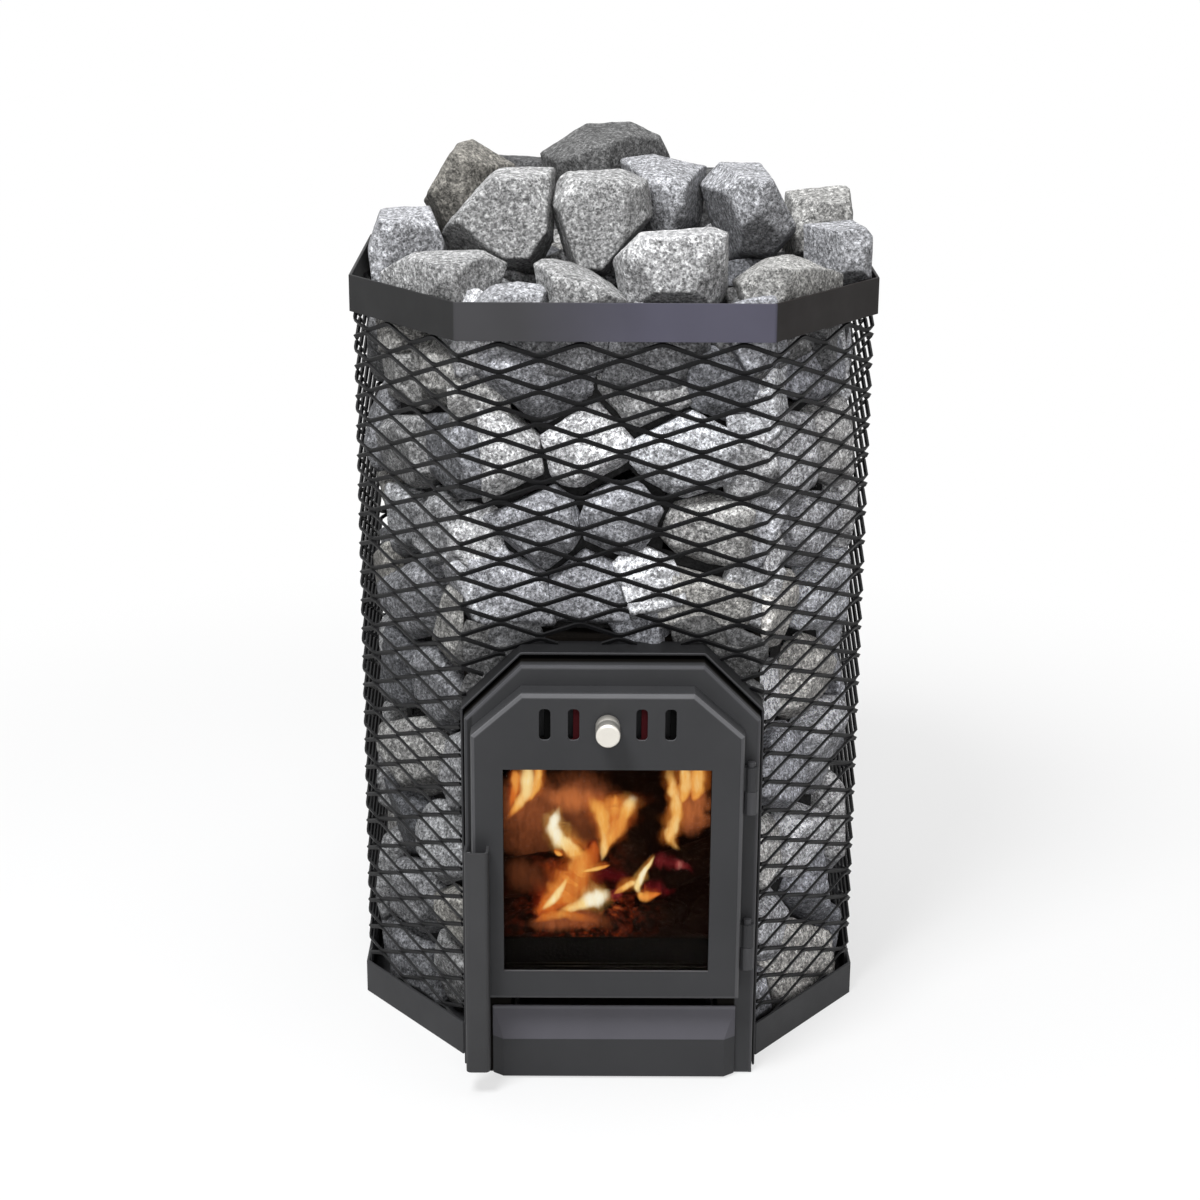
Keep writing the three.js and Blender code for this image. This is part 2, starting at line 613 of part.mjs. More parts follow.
function doorFrame() {
  const outline = arch(0, FRAME_WIDTH, 0, FRAME_TOP, FRAME_CHAMFER, FRAME_CHAMFER);
  const outer = pressedPlate(shapeOf(outline), FRAME_FRONT, FRAME_BACK, FRAME_EDGE_RADIUS);
  const squareFoot = block([-FRAME_WIDTH / 2, FRAME_WIDTH / 2], [FRAME_FRONT + FRAME_SHEET, FRAME_BACK],
    [0, FRAME_EDGE_RADIUS]);
  const pocket = inset(outline, FRAME_SHEET).map(([x, z], i) => [x, i < 2 ? -CUT_PAST : z]);
  const hollow = plate(shapeOf(pocket), FRAME_FRONT + FRAME_SHEET, FRAME_BACK + CUT_PAST);
  const doorway = plate(shapeOf(glassOpening(FRAME_OPENING_MARGIN)), FRAME_FRONT - CUT_PAST, FRAME_BACK);
  const mouthTop = DRAWER_TOP + AIR_GAP_ABOVE_DRAWER;
  const mouth = plate(shapeOf(trayMouth(mouthTop)), FRAME_FRONT - CUT_PAST, FRAME_BACK);
  const frame = outer.add(squareFoot).subtract(hollow).subtract(doorway).subtract(mouth);
  return piece("door_frame", frame, heatPaint);
}

// Firebox plates: sides and top in one, with a front and a back plate
function firebox() {
  const half = FIREBOX_WIDTH / 2;
  const [inner, under] = [half - FIREBOX_PLATE, FIREBOX_TOP - FIREBOX_PLATE];
  const shell = shapeOf([
    [-half, FIREBOX_BOTTOM], [-inner, FIREBOX_BOTTOM], [-inner, under], [inner, under],
    [inner, FIREBOX_BOTTOM], [half, FIREBOX_BOTTOM], [half, FIREBOX_TOP], [-half, FIREBOX_TOP],
  ]);
  const end = shapeOf(rectangle([-half, half], [FIREBOX_BOTTOM, FIREBOX_TOP]));
  const frontCut = [FIREBOX_FRONT - CUT_PAST, FIREBOX_INNER_FRONT + CUT_PAST];
  const doorway = plate(shapeOf(glassOpening(FRAME_OPENING_MARGIN)), ...frontCut);
  const mouth = plate(shapeOf(trayMouth(TRAY_TOP + TRAY_MOUTH_CLEAR)), ...frontCut);
  const front = plate(end, FIREBOX_FRONT, FIREBOX_FRONT + FIREBOX_PLATE);
  const rearCut = [FIREBOX_INNER_BACK - CUT_PAST, FIREBOX_BACK + CUT_PAST];
  const outlet = rodAlongY(0, FLUE_HEIGHT, FLUE_BORE, ...rearCut, FLUE_SIDES);
  const back = plate(end, FIREBOX_BACK - FIREBOX_PLATE, FIREBOX_BACK);
  return [
    piece("firebox_shell", plate(shell, FIREBOX_INNER_FRONT, FIREBOX_INNER_BACK), castIron),
    piece("firebox_front", front.subtract(doorway).subtract(mouth), castIron),
    piece("firebox_back", back.subtract(outlet), castIron),
  ];
}

// The grate is the whole hearth, with its slots over the ash tray
function fireGrate() {
  const half = FIREBOX_WIDTH / 2 - FIREBOX_PLATE - FIT;
  const top = GRATE_HEIGHT + GRATE_THICKNESS;
  let grate = block([-half, half], [FIREBOX_INNER_FRONT, FIREBOX_INNER_BACK], [GRATE_HEIGHT, top]);
  const slotFront = FIREBOX_FRONT + GRATE_BACK_SET;
  for (let n = 0; n < GRATE_SLOT_COUNT; n += 1) {
    const middle = (n - (GRATE_SLOT_COUNT - 1) / 2) * GRATE_SLOT_PITCH;
    grate = grate.subtract(block(
      [middle - GRATE_SLOT / 2, middle + GRATE_SLOT / 2],
      [slotFront, slotFront + GRATE_SLOT_LENGTH], [GRATE_HEIGHT - CUT_PAST, top + CUT_PAST],
    ));
  }
  return piece("fire_grate", grate, castIron);
}

function smokeBaffle() {
  const half = FIREBOX_WIDTH / 2 - FIREBOX_PLATE - FIT;
  const bottom = BAFFLE_HEIGHT + FIT;
  const sheet = block([-half, half], [FIREBOX_FRONT + BAFFLE_FRONT_GAP, FIREBOX_INNER_BACK],
    [bottom, bottom + BAFFLE_THICKNESS]);
  return piece("smoke_baffle", sheet, castIron);
}

function flueCollar() {
  const [bore, wall, flange] = [FLUE_BORE / 2, FLUE_BORE / 2 + FLUE_WALL, FLUE_FLANGE / 2];
  const seat = FIREBOX_BACK + FIT;
  const end = REAR + FLUE_STANDS_PROUD;
  const profile = [
    [bore, seat], [flange, seat], [flange, seat + FLUE_FLANGE_SHEET],
    [wall, seat + FLUE_FLANGE_SHEET], [wall, end], [bore, end], [bore, seat],
  ].map(([radius, y]) => new THREE.Vector2(radius, y));
  const collar = new THREE.LatheGeometry(profile, FLUE_SIDES).translate(0, 0, FLUE_HEIGHT);
  return piece("flue_collar", toSolid(collar), heatPaint);
}

// Sheet that closes the rear face of the cage round the flue
function fluePlate() {
  const [left, right] = [octagon(MESH_INNER_INSET)[5][0] + FIT, octagon(MESH_INNER_INSET)[4][0] - FIT];
  const [yFront, yBack] = [REAR - MESH_INNER_INSET, REAR - MESH_OUTER_INSET];
  const sheet = block([left, right], [yFront, yBack], [FLUE_PLATE_BOTTOM, FLUE_PLATE_TOP]);
  const holeSize = FLUE_BORE + 2 * (FLUE_WALL + FIT);
  const hole = rodAlongY(0, FLUE_HEIGHT, holeSize, yFront - CUT_PAST, yBack + CUT_PAST, FLUE_SIDES);
  return piece("flue_plate", sheet.subtract(hole), heatPaint);
}

// Door

function doorOutline(distance) {
  const outline = arch(DOOR_OFFSET, DOOR_WIDTH, DOOR_BOTTOM, DOOR_TOP, DOOR_CHAMFER_RUN, DOOR_CHAMFER_DROP);
  return inset(outline, distance);
}

function doorPanel() {
  let panel = pressedPlate(shapeOf(doorOutline(0)), DOOR_FRONT, DOOR_BACK, DOOR_EDGE_RADIUS);
  panel = panel.subtract(plate(shapeOf(doorOutline(DOOR_SHEET)), DOOR_INNER, DOOR_BACK + CUT_PAST));
  const through = [DOOR_FRONT - CUT_PAST, DOOR_INNER + CUT_PAST];
  const stemSlot = STEM_DIAMETER + 2 * (TURNING_FIT + SLIDER_TRAVEL);
  const stemHeight = STEM_DIAMETER + 2 * TURNING_FIT;
  const slot = (x, width, height, corner) => plate(
    roundedSlot(DOOR_OFFSET + x, SLOT_HEIGHT_ABOVE_FLOOR, width, height, corner), ...through,
  );
  const cuts = [
    plate(shapeOf(glassOpening(0)), ...through),
    ...SLOT_PLACES.map((x) => slot(x, SLOT_WIDTH, SLOT_HEIGHT, SLOT_CORNER)),
    slot(0, stemSlot, stemHeight, stemHeight / 2 - FIT),
    rodAlongY(SPINDLE_X, SPINDLE_HEIGHT, SPINDLE_DIAMETER + 2 * TURNING_FIT, ...through),
    block(
      [DOOR_LEFT - CUT_PAST, DOOR_LEFT + DOOR_SHEET + CUT_PAST],
      [TONGUE_FRONT - SLIDING_FIT, TONGUE_BACK + SLIDING_FIT],
      [SPINDLE_HEIGHT - TONGUE_HUB / 2 - SLIDING_FIT, SPINDLE_HEIGHT + TONGUE_LIFT],
    ),
  ];
  return piece("door_panel", cuts.reduce((solid, cut) => solid.subtract(cut), panel), heatPaint);
}

function openingRing(outerMargin, innerMargin, yFront, yBack) {
  const outer = plate(shapeOf(glassOpening(outerMargin)), yFront, yBack);
  return outer.subtract(plate(shapeOf(glassOpening(innerMargin)), yFront - CUT_PAST, yBack + CUT_PAST));
}

function glazing() {
  const gasket = openingRing(GLASS_LAP, GASKET_SETBACK, GASKET_FRONT, GASKET_FRONT + GASKET_THICKNESS);
  const pane = plate(shapeOf(glassOpening(GLASS_LAP)), GLASS_FRONT, GLASS_FRONT + GLASS_THICKNESS);
  const backFlange = openingRing(RETAINER_REACH, 0, RETAINER_FRONT, RETAINER_BACK);
  const wall = openingRing(RETAINER_REACH, GLASS_LAP + FIT, GASKET_FRONT, RETAINER_BACK);
  const seal = openingRing(RETAINER_REACH, RETAINER_REACH - SEAL_WIDTH, RETAINER_BACK + FIT, DOOR_BACK);
  return [
    piece("glass_gasket", gasket, rope),
    piece("door_glass", pane, glass),
    piece("glass_retainer", backFlange.add(wall), bareSteel),
    piece("door_seal", seal, rope),
  ];
}

// Air slider

// At rest the windows stand half open, one travel short of the slots
function airSlider() {
  const windowWidth = SLOT_WIDTH + 2 * WINDOW_EXTRA;
  const places = SLOT_PLACES.map((x) => DOOR_OFFSET + x - SLIDER_TRAVEL);
  const left = Math.min(...places) - windowWidth / 2 - SLIDER_END;
  const right = Math.max(...places) + 2 * SLIDER_TRAVEL + windowWidth / 2 + SLIDER_END;
  const sheet = block([left, right], [SLIDER_FRONT, SLIDER_BACK], [SLIDER_BOTTOM, SLIDER_TOP]);
  const windows = places.map((x) => block(
    [x - windowWidth / 2, x + windowWidth / 2], [SLIDER_FRONT - CUT_PAST, SLIDER_BACK + CUT_PAST],
    [SLOT_HEIGHT_ABOVE_FLOOR - SLOT_HEIGHT / 2, SLOT_HEIGHT_ABOVE_FLOOR + SLOT_HEIGHT / 2],
  ));
  return piece("air_slider", windows.reduce((solid, cut) => solid.subtract(cut), sheet), bareSteel);
}

function airKnob() {
  const [radius, stem] = [KNOB_DIAMETER / 2, STEM_DIAMETER / 2];
  const back = DOOR_FRONT - KNOB_STANDOFF;
  const front = back - KNOB_LENGTH;
  const grooveAt = front + KNOB_LENGTH / 2;
  const end = SLIDER_FRONT - FIT;
  const profile = [
    [0, front], [radius - KNOB_CHAMFER, front], [radius, front + KNOB_CHAMFER],
    [radius, grooveAt - KNOB_GROOVE], [radius - KNOB_GROOVE, grooveAt], [radius, grooveAt + KNOB_GROOVE],
    [radius, back - KNOB_GROOVE], [radius - KNOB_GROOVE, back], [stem, back], [stem, end], [0, end],
  ].map(([r, y]) => new THREE.Vector2(r, y));
  const turned = new THREE.LatheGeometry(profile, KNOB_SIDES);
  turned.translate(DOOR_OFFSET, 0, SLOT_HEIGHT_ABOVE_FLOOR);
  return piece("air_knob", toSolid(turned), polished);
}

// Two angle strips whose lips hold the edges of the slider sheet, with straps behind the sheet
function sliderGuide() {
  const half = SLOT_MIDDLE_GAP / 2 + SLOT_PITCH + SLOT_WIDTH;
  const span = [DOOR_OFFSET - half, DOOR_OFFSET + half];
  const [yFront, lipFront] = [DOOR_INNER + FIT, SLIDER_BACK + SLIDING_FIT];
  const yBack = lipFront + GUIDE_SHEET;
  const strip = (edge, away) => {
    const inner = edge + away * SLIDING_FIT;
    const foot = ordered(inner, inner + away * GUIDE_HEIGHT);
    const lip = ordered(inner + away * GUIDE_HEIGHT, edge - away * GUIDE_LIP);
    return block(span, [yFront, yBack], foot).add(block(span, [lipFront, yBack], lip));
  };
  const strapFromMiddle = (SLOT_MIDDLE_GAP + SLOT_PITCH) / 2;
  const straps = [-1, 1].map((side) => {
    const middle = DOOR_OFFSET + side * strapFromMiddle;
    return block([middle - GUIDE_STRAP / 2, middle + GUIDE_STRAP / 2], [lipFront, yBack],
      [SLIDER_BOTTOM, SLIDER_TOP]);
  });
  return piece("slider_guide", join([strip(SLIDER_TOP, 1), strip(SLIDER_BOTTOM, -1), ...straps]), bareSteel);
}

// Handle and latch

// Section of the handle channel, or of the hollow inside its sheet, which is open towards the door
function handleSection(sheet, back) {
  const [left, right] = [HANDLE_LEFT + sheet, HANDLE_RIGHT - sheet];
  const [corner, bend] = [HANDLE_CORNER - sheet, HANDLE_FRONT + HANDLE_CORNER];
  const shape = new THREE.Shape();
  shape.moveTo(left, back);
  shape.lineTo(left, bend);
  shape.absarc(left + corner, bend, corner, Math.PI, 1.5 * Math.PI);
  shape.absarc(right - corner, bend, corner, 1.5 * Math.PI, 2 * Math.PI);
  shape.lineTo(right, back);
  return shape;
}

function doorHandle() {
  const outside = handleSection(0, HANDLE_BACK);
  const inside = handleSection(HANDLE_SHEET, HANDLE_BACK + CUT_PAST);
  const channel = raised(outside, HANDLE_BOTTOM, HANDLE_TOP);
  const hollow = raised(inside, HANDLE_BOTTOM - CUT_PAST, HANDLE_TOP + CUT_PAST);
  const halfHub = HANDLE_HUB_HEIGHT / 2;
  const hub = raised(outside, SPINDLE_HEIGHT - halfHub, SPINDLE_HEIGHT + halfHub);
  return piece("door_handle", channel.subtract(hollow).add(hub), heatPaint);
}

// The tongue is welded across the rear end of the spindle that the handle turns
function latchSpindle() {
  const end = TONGUE_BACK + DOOR_TO_FRAME;
  const rod = rodAlongY(SPINDLE_X, SPINDLE_HEIGHT, SPINDLE_DIAMETER, HANDLE_BACK + FIT, end);
  const hub = rodAlongY(SPINDLE_X, SPINDLE_HEIGHT, TONGUE_HUB, TONGUE_FRONT, TONGUE_BACK);
  const tongue = block([DOOR_LEFT - TONGUE_PAST_DOOR, SPINDLE_X], [TONGUE_FRONT, TONGUE_BACK],
    [SPINDLE_HEIGHT - TONGUE_HEIGHT / 2, SPINDLE_HEIGHT + TONGUE_HEIGHT / 2]);
  return piece("latch_spindle", join([rod, hub, tongue]), bareSteel);
}

// The keeper's lip stands in front of the tongue's path, just above its place at rest
function latchKeeper() {
  const tip = DOOR_LEFT - TONGUE_PAST_DOOR;
  const outside = tip - SLIDING_FIT - KEEPER_SHEET;
  const inside = DOOR_LEFT - DOOR_TO_FRAME;
  const [lipBack, foot] = [TONGUE_FRONT - DOOR_TO_FRAME, FRAME_FRONT - FIT];
  const outline = [
    [outside, lipBack - KEEPER_LIP], [inside, lipBack - KEEPER_LIP], [inside, lipBack],
    [outside + KEEPER_SHEET, lipBack], [outside + KEEPER_SHEET, foot], [outside, foot],
  ];
  const bottom = SPINDLE_HEIGHT + TONGUE_HEIGHT / 2 + KEEPER_CLEAR;
  return piece("latch_keeper", raised(shapeOf(outline), bottom, bottom + KEEPER_HEIGHT), bareSteel);
}

// Hinges: a pintle on the frame under a lug on the door

function hinge(name, height) {
  const leaf = block([HINGE_X - HINGE_LEAF_WIDTH / 2, HINGE_X + HINGE_LEAF_WIDTH / 2],
    [FRAME_FRONT - FIT - HINGE_LEAF_SHEET, FRAME_FRONT - FIT], [height - HINGE_KNUCKLE_HEIGHT, height]);
  const seat = rodAlongZ(HINGE_X, HINGE_Y, HINGE_KNUCKLE, height - HINGE_KNUCKLE_HEIGHT, height);
  const lugBottom = height + TURNING_FIT;
  const lugTop = lugBottom + HINGE_KNUCKLE_HEIGHT;
  const pin = rodAlongZ(HINGE_X, HINGE_Y, HINGE_PIN, height - CUT_PAST, lugTop + HINGE_PIN_SHOWS);
  const barrel = rodAlongZ(HINGE_X, HINGE_Y, HINGE_KNUCKLE, lugBottom, lugTop);
  const arm = block([DOOR_RIGHT + FIT, HINGE_X], [HINGE_Y - HINGE_ARM / 2, HINGE_Y + HINGE_ARM / 2],
    [lugBottom, lugTop]);
  const boreSize = HINGE_PIN + 2 * TURNING_FIT;
  const bore = rodAlongZ(HINGE_X, HINGE_Y, boreSize, lugBottom - CUT_PAST, lugTop + CUT_PAST);
  return [
    piece(`hinge_pintle_${name}`, join([leaf, seat, pin]), bareSteel),
    piece(`hinge_lug_${name}`, barrel.add(arm).subtract(bore), heatPaint),
  ];
}

// Ash drawer

function drawerFront() {
  const side = [
    [DRAWER_BACK, DRAWER_BOTTOM], [DRAWER_BACK, DRAWER_TOP], [DRAWER_BACK - DRAWER_EDGE, DRAWER_TOP],
    [DRAWER_FRONT, DRAWER_BEVEL_START], [DRAWER_FRONT, DRAWER_BOTTOM],
  ];
  const bar = new THREE.ExtrudeGeometry(shapeOf(side), { depth: DRAWER_WIDTH, bevelEnabled: false });
  bar.applyMatrix4(new THREE.Matrix4().makeBasis(
    new THREE.Vector3(0, 1, 0), new THREE.Vector3(0, 0, 1), new THREE.Vector3(1, 0, 0),
  )).translate(DRAWER_LEFT, 0, 0);
  const plan = [
    [DRAWER_LEFT, DRAWER_BACK], [DRAWER_LEFT, DRAWER_BACK - DRAWER_EDGE],
    [DRAWER_LEFT + DRAWER_SIDE_BEVEL, DRAWER_FRONT], [DRAWER_RIGHT - DRAWER_SIDE_BEVEL, DRAWER_FRONT],
    [DRAWER_RIGHT, DRAWER_BACK - DRAWER_EDGE], [DRAWER_RIGHT, DRAWER_BACK],
  ];
  const face = toSolid(bar).intersect(raised(shapeOf(plan), DRAWER_BOTTOM, DRAWER_TOP));
  return piece("drawer_front", face, heatPaint);
}

function ashTray() {
  const half = TRAY_WIDTH / 2;
  const back = TRAY_FRONT + TRAY_LENGTH;
  const across = [DRAWER_MIDDLE - half, DRAWER_MIDDLE + half];
  const outer = block(across, [TRAY_FRONT, back], [TRAY_BOTTOM, TRAY_TOP]);
  const inner = half - TRAY_SHEET;
  const hollow = block([DRAWER_MIDDLE - inner, DRAWER_MIDDLE + inner],
    [TRAY_FRONT + TRAY_SHEET, back - TRAY_SHEET], [TRAY_BOTTOM + TRAY_SHEET, TRAY_TOP + CUT_PAST]);
  return piece("ash_tray", outer.subtract(hollow), bareSteel);
}

// A rail on each side of the tray, with a strip across under its rear end
function trayRunners() {
  const [front, back] = [FIREBOX_INNER_FRONT, FIREBOX_INNER_FRONT + RUNNER_LENGTH];
  const [low, under] = [BASE_SHEET + FIT, TRAY_BOTTOM - FIT];
  const rails = [-1, 1].flatMap((side) => {
    const edge = DRAWER_MIDDLE + side * (TRAY_WIDTH / 2 + SLIDING_FIT);
    const outside = edge + side * RUNNER_SHEET;
    return [
      block(ordered(outside, edge - side * RUNNER_WIDTH), [front, back], [low, under]),
      block(ordered(edge, outside), [front, back], [low, TRAY_BOTTOM + RUNNER_UPSTAND]),
    ];
  });
  const half = TRAY_WIDTH / 2;
  const strip = block([DRAWER_MIDDLE - half, DRAWER_MIDDLE + half], [back - RUNNER_CROSS_STRIP, back],
    [low, under]);
  return piece("tray_runners", join([...rails, strip]), bareSteel);
}

// Stones

// Repeatable random numbers from 0 to 1
function randomFrom(seed) {
  const [multiplier, increment, range] = [1664525, 1013904223, 2 ** 32];
  let state = seed;
  return () => {
    state = (Math.imul(state, multiplier) + increment) >>> 0;
    return state / range;
  };
}

function stoneWell(bottom, top) {
  return raised(shapeOf(octagon(MESH_INNER_INSET + STONE_CLEAR_OF_MESH)), bottom, top);
}

function middleOf(solid) {
  const { min, max } = solid.boundingBox();
  return new THREE.Vector3(...min).add(new THREE.Vector3(...max)).divideScalar(2);
}

// A stone of the heap: the hull of its middle outline, its front face and a smaller back face
function heapStone({ y, depth, shift, face, outline }, bed) {
  const middle = [0, 1].map((axis) => (
    outline.reduce((sum, point) => sum + point[axis], 0) / outline.length
  ));
  const layer = (offset, [dx, dz], [wide, high]) => outline.map(([x, z]) => new THREE.Vector3(
    middle[0] + dx + wide * (x - middle[0]), y + offset, middle[1] + dz + high * (z - middle[1]),
  ));
  const corners = [
    ...layer(0, [0, 0], [1, 1]),
    ...layer(-depth / 2, shift, face),
    ...layer(depth / 2, [0, 0], STONE_BACK),
  ];
  const hundredth = CASING_WIDTH / 100;
  const lump = new ConvexGeometry(corners.map((corner) => corner.multiplyScalar(hundredth)));
  const solid = toSolid(lump.translate(0, 0, RIM_TOP));
  return cutAway(solid, new THREE.Vector3(0, 0, bed + STONE_GAP), new THREE.Vector3(0, 0, -1));
}

// Keeps a stone of the rim clear of the raised middle of the heap
function besideCore(solid) {
  const [middle, core] = [middleOf(solid), new THREE.Vector3(0, (CORE_FRONT + CORE_REAR) / 2, 0)];
  const half = new THREE.Vector3(CORE_HALF_WIDTH, (CORE_REAR - CORE_FRONT) / 2, 0);
  const away = middle.clone().sub(core);
  const sideways = Math.abs(away.x) - half.x > Math.abs(away.y) - half.y;
  const flank = sideways
    ? new THREE.Vector3(Math.sign(away.x), 0, 0)
    : new THREE.Vector3(0, Math.sign(away.y), 0);
  const face = core.addScaledVector(flank, (sideways ? half.x : half.y) + STONE_GAP);
  return cutAway(solid, face, flank.negate());
}

// Cuts two stones apart along a plane through the middle of what they share
function partStones(one, other) {
  const shared = one.solid.intersect(other.solid);
  if (shared.isEmpty()) {
    return;
  }
  const normal = middleOf(other.solid).sub(middleOf(one.solid)).normalize();
  const seam = middleOf(shared).addScaledVector(normal, -STONE_GAP / 2);
  const farSeam = seam.clone().addScaledVector(normal, STONE_GAP);
  one.solid = cutAway(one.solid, seam, normal);
  other.solid = cutAway(other.solid, farSeam, normal.clone().negate());
}

// Stones of the heap lean on each other along flat faces
function heapStones() {
  const well = stoneWell(STONE_BED, SPAN);
  const placed = [
    ...RIM_STONES.map((entry) => [entry.name, besideCore(heapStone(entry, STONE_BED))]),
    ...CORE_STONES.map((entry) => [entry.name, heapStone(entry, CORE_TOP)]),
  ].map(([name, solid]) => ({ name, solid: solid.intersect(well) }));
  placed.forEach((one, i) => placed.slice(i + 1).forEach((other) => partStones(one, other)));
  return placed.map(({ name, solid }) => piece(`stone_${name}`, largest(solid), granite));
}

// The inside of one cage wall, which turns a place along it, a height and a depth into a point.
// Depths fan inwards, so that stones on neighbouring walls stay apart.
function cageWall(face) {
  const corners = octagon(MESH_INNER_INSET + STONE_CLEAR_OF_MESH);
  const i = FACE_NAMES.indexOf(face);
  const from = new THREE.Vector3(...corners[i], 0);
  const to = new THREE.Vector3(...corners[(i + 1) % corners.length], 0);
  const width = from.distanceTo(to);
  const along = to.clone().sub(from).divideScalar(width);
  const inward = new THREE.Vector3(0, 0, 1).cross(along);
  const place = (across, height, depth) => {
    const narrowed = width / 2 + (across - width / 2) * (1 - (2 * ROCK_TAPER * depth) / width);
    return from.clone().addScaledVector(along, narrowed).addScaledVector(inward, depth).setZ(height);
  };
  return { width, place };
}

// Middles of the stones on a wall, in rough courses
function rockSeeds(width, [low, high], random) {
  const columns = Math.round(width / ROCK_PITCH[0]);
  const rows = Math.round((high - low) / ROCK_PITCH[1]);
  const stray = () => ROCK_STRAY * (random() - 0.5);
  const seeds = [];
  for (let row = 0; row < rows; row += 1) {
    const stagger = row % 2 ? ROCK_STAGGER : -ROCK_STAGGER;
    for (let column = 0; column < columns; column += 1) {
      const across = ((column + 0.5 + stagger + stray()) * width) / columns;
      seeds.push([across, low + ((row + 0.5 + stray()) * (high - low)) / rows]);
    }
  }
  return seeds;
}

// The part of a convex outline that lies nearer to one seed than to another
function nearerPart(outline, seed, other) {
  const normal = [other[0] - seed[0], other[1] - seed[1]];
  const middle = [(other[0] + seed[0]) / 2, (other[1] + seed[1]) / 2];
  const beyond = ([x, z]) => normal[0] * (x - middle[0]) + normal[1] * (z - middle[1]);
  return outline.flatMap((point, i) => {
    const next = outline[(i + 1) % outline.length];
    const [here, there] = [beyond(point), beyond(next)];
    const kept = here <= 0 ? [point] : [];
    if (here * there < 0) {
      const share = here / (here - there);
      kept.push(point.map((value, axis) => value + share * (next[axis] - value)));
    }
    return kept;
  });
}

// The room that a stone has among its neighbours on a wall, without very short edges
function rockCell(seed, seeds, whole) {
  const others = seeds.filter((other) => other !== seed);
  const cell = others.reduce((outline, other) => nearerPart(outline, seed, other), whole);
  return cell.filter((point, i) => {
    const last = cell.at(i - 1);
    return Math.hypot(point[0] - last[0], point[1] - last[1]) > ROCK_LEAST_EDGE;
  });
}

// One stone behind the mesh: the hull of its back, its wide middle and its tilted face
function wallRock(cell, wall, random) {
  const between = ([low, high]) => low + (high - low) * random();
  const middle = [0, 1].map((axis) => cell.reduce((sum, point) => sum + point[axis], 0) / cell.length);
  const tilt = [0, 1].map(() => ROCK_TILT * (random() - 0.5));
  const layer = (share, depth, [leanAcross, leanUp]) => cell.map((point) => {
    const [across, up] = point.map((value, axis) => share * (value - middle[axis]));
    const leaning = Math.max(0, depth + leanAcross * across + leanUp * up);
    return wall.place(middle[0] + across, middle[1] + up, leaning);
  });
  return toSolid(new ConvexGeometry([
    ...layer(ROCK_BACK, ROCK_BACK_DEPTH, [0, 0]),
    ...layer(between(ROCK_SHOULDER), between(ROCK_SHOULDER_DEPTH), [0, 0]),
    ...layer(between(ROCK_FACE), between(ROCK_FACE_DEPTH), tilt),
  ]));
}

// Stones that fill one part of the cage: those behind its walls stand on one shared core
function stoneMass(name, faces, heights, room, seed) {
  const random = randomFrom(seed);
  const coreInset = MESH_INNER_INSET + STONE_CLEAR_OF_MESH + ROCK_CORE_DEPTH;
  const core = raised(shapeOf(octagon(coreInset)), 0, RIM_TOP);
  const rocks = faces.flatMap((face) => {
    const wall = cageWall(face);
    const seeds = rockSeeds(wall.width, heights, random);
    const whole = rectangle([0, wall.width], heights);
    return seeds.map((seed) => wallRock(rockCell(seed, seeds, whole), wall, random));
  });
  return piece(name, largest(join([core, ...rocks]).intersect(room)), granite);
}

// One mass on each side of the firebox, one behind it and one above it
function stoneFill() {
  const side = FIREBOX_WIDTH / 2 + STONE_GAP;
  const [reach, depth] = [CASING_WIDTH / 2, CASING_DEPTH / 2];
  const middle = [-CORE_HALF_WIDTH, CORE_HALF_WIDTH];
  const beside = [STONE_FLOOR, STONE_BED];
  const behind = [STONE_FLOOR, FLUE_PLATE_BOTTOM];
  const above = [FIREBOX_TOP + STONE_GAP, STONE_BED];
  const length = [FRONT + HOOD_REACHES_IN + STONE_GAP, depth];
  const bed = block(middle, [-depth, depth], above);
  const heap = block(middle, [CORE_FRONT, CORE_REAR], [above[0], CORE_TOP]);
  return [
    stoneMass("stones_left", ["rear_left", "left", "front_left"], beside,
      block([-reach, -side], length, beside), ROCK_SEEDS.left),
    stoneMass("stones_right", ["front_right", "right", "rear_right"], beside,
      block([side, reach], length, beside), ROCK_SEEDS.right),
    stoneMass("stones_rear", ["rear"], behind,
      block(middle, [FIREBOX_BACK + STONE_GAP, depth], behind), ROCK_SEEDS.rear),
    stoneMass("stones_above_firebox", ["front", "rear"], above, bed.add(heap), ROCK_SEEDS.above),
  ];
}

const heater = new THREE.Group();
heater.add(
  basePlate(), bottomRing(), topRim(), meshCage(), portalHood(), doorFrame(),
  ...firebox(), fireGrate(), smokeBaffle(), flueCollar(), fluePlate(),
  doorPanel(), ...glazing(), airSlider(), airKnob(), sliderGuide(),
  doorHandle(), latchSpindle(), latchKeeper(),
  ...hinge("upper", UPPER_HINGE_HEIGHT), ...hinge("lower", LOWER_HINGE_HEIGHT),
  drawerFront(), ashTray(), trayRunners(),
  ...heapStones(), ...stoneFill(),
);

export default heater;
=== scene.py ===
# Looks of a wood-burning sauna heater: an octagonal mesh cage full of broken stones,
# a painted door and drawer, and the fire behind the glass. Metres, +Z up, front towards -Y.

import json
import math
import random

import bmesh
import bpy
import numpy as np
from mathutils import Matrix, Vector, noise


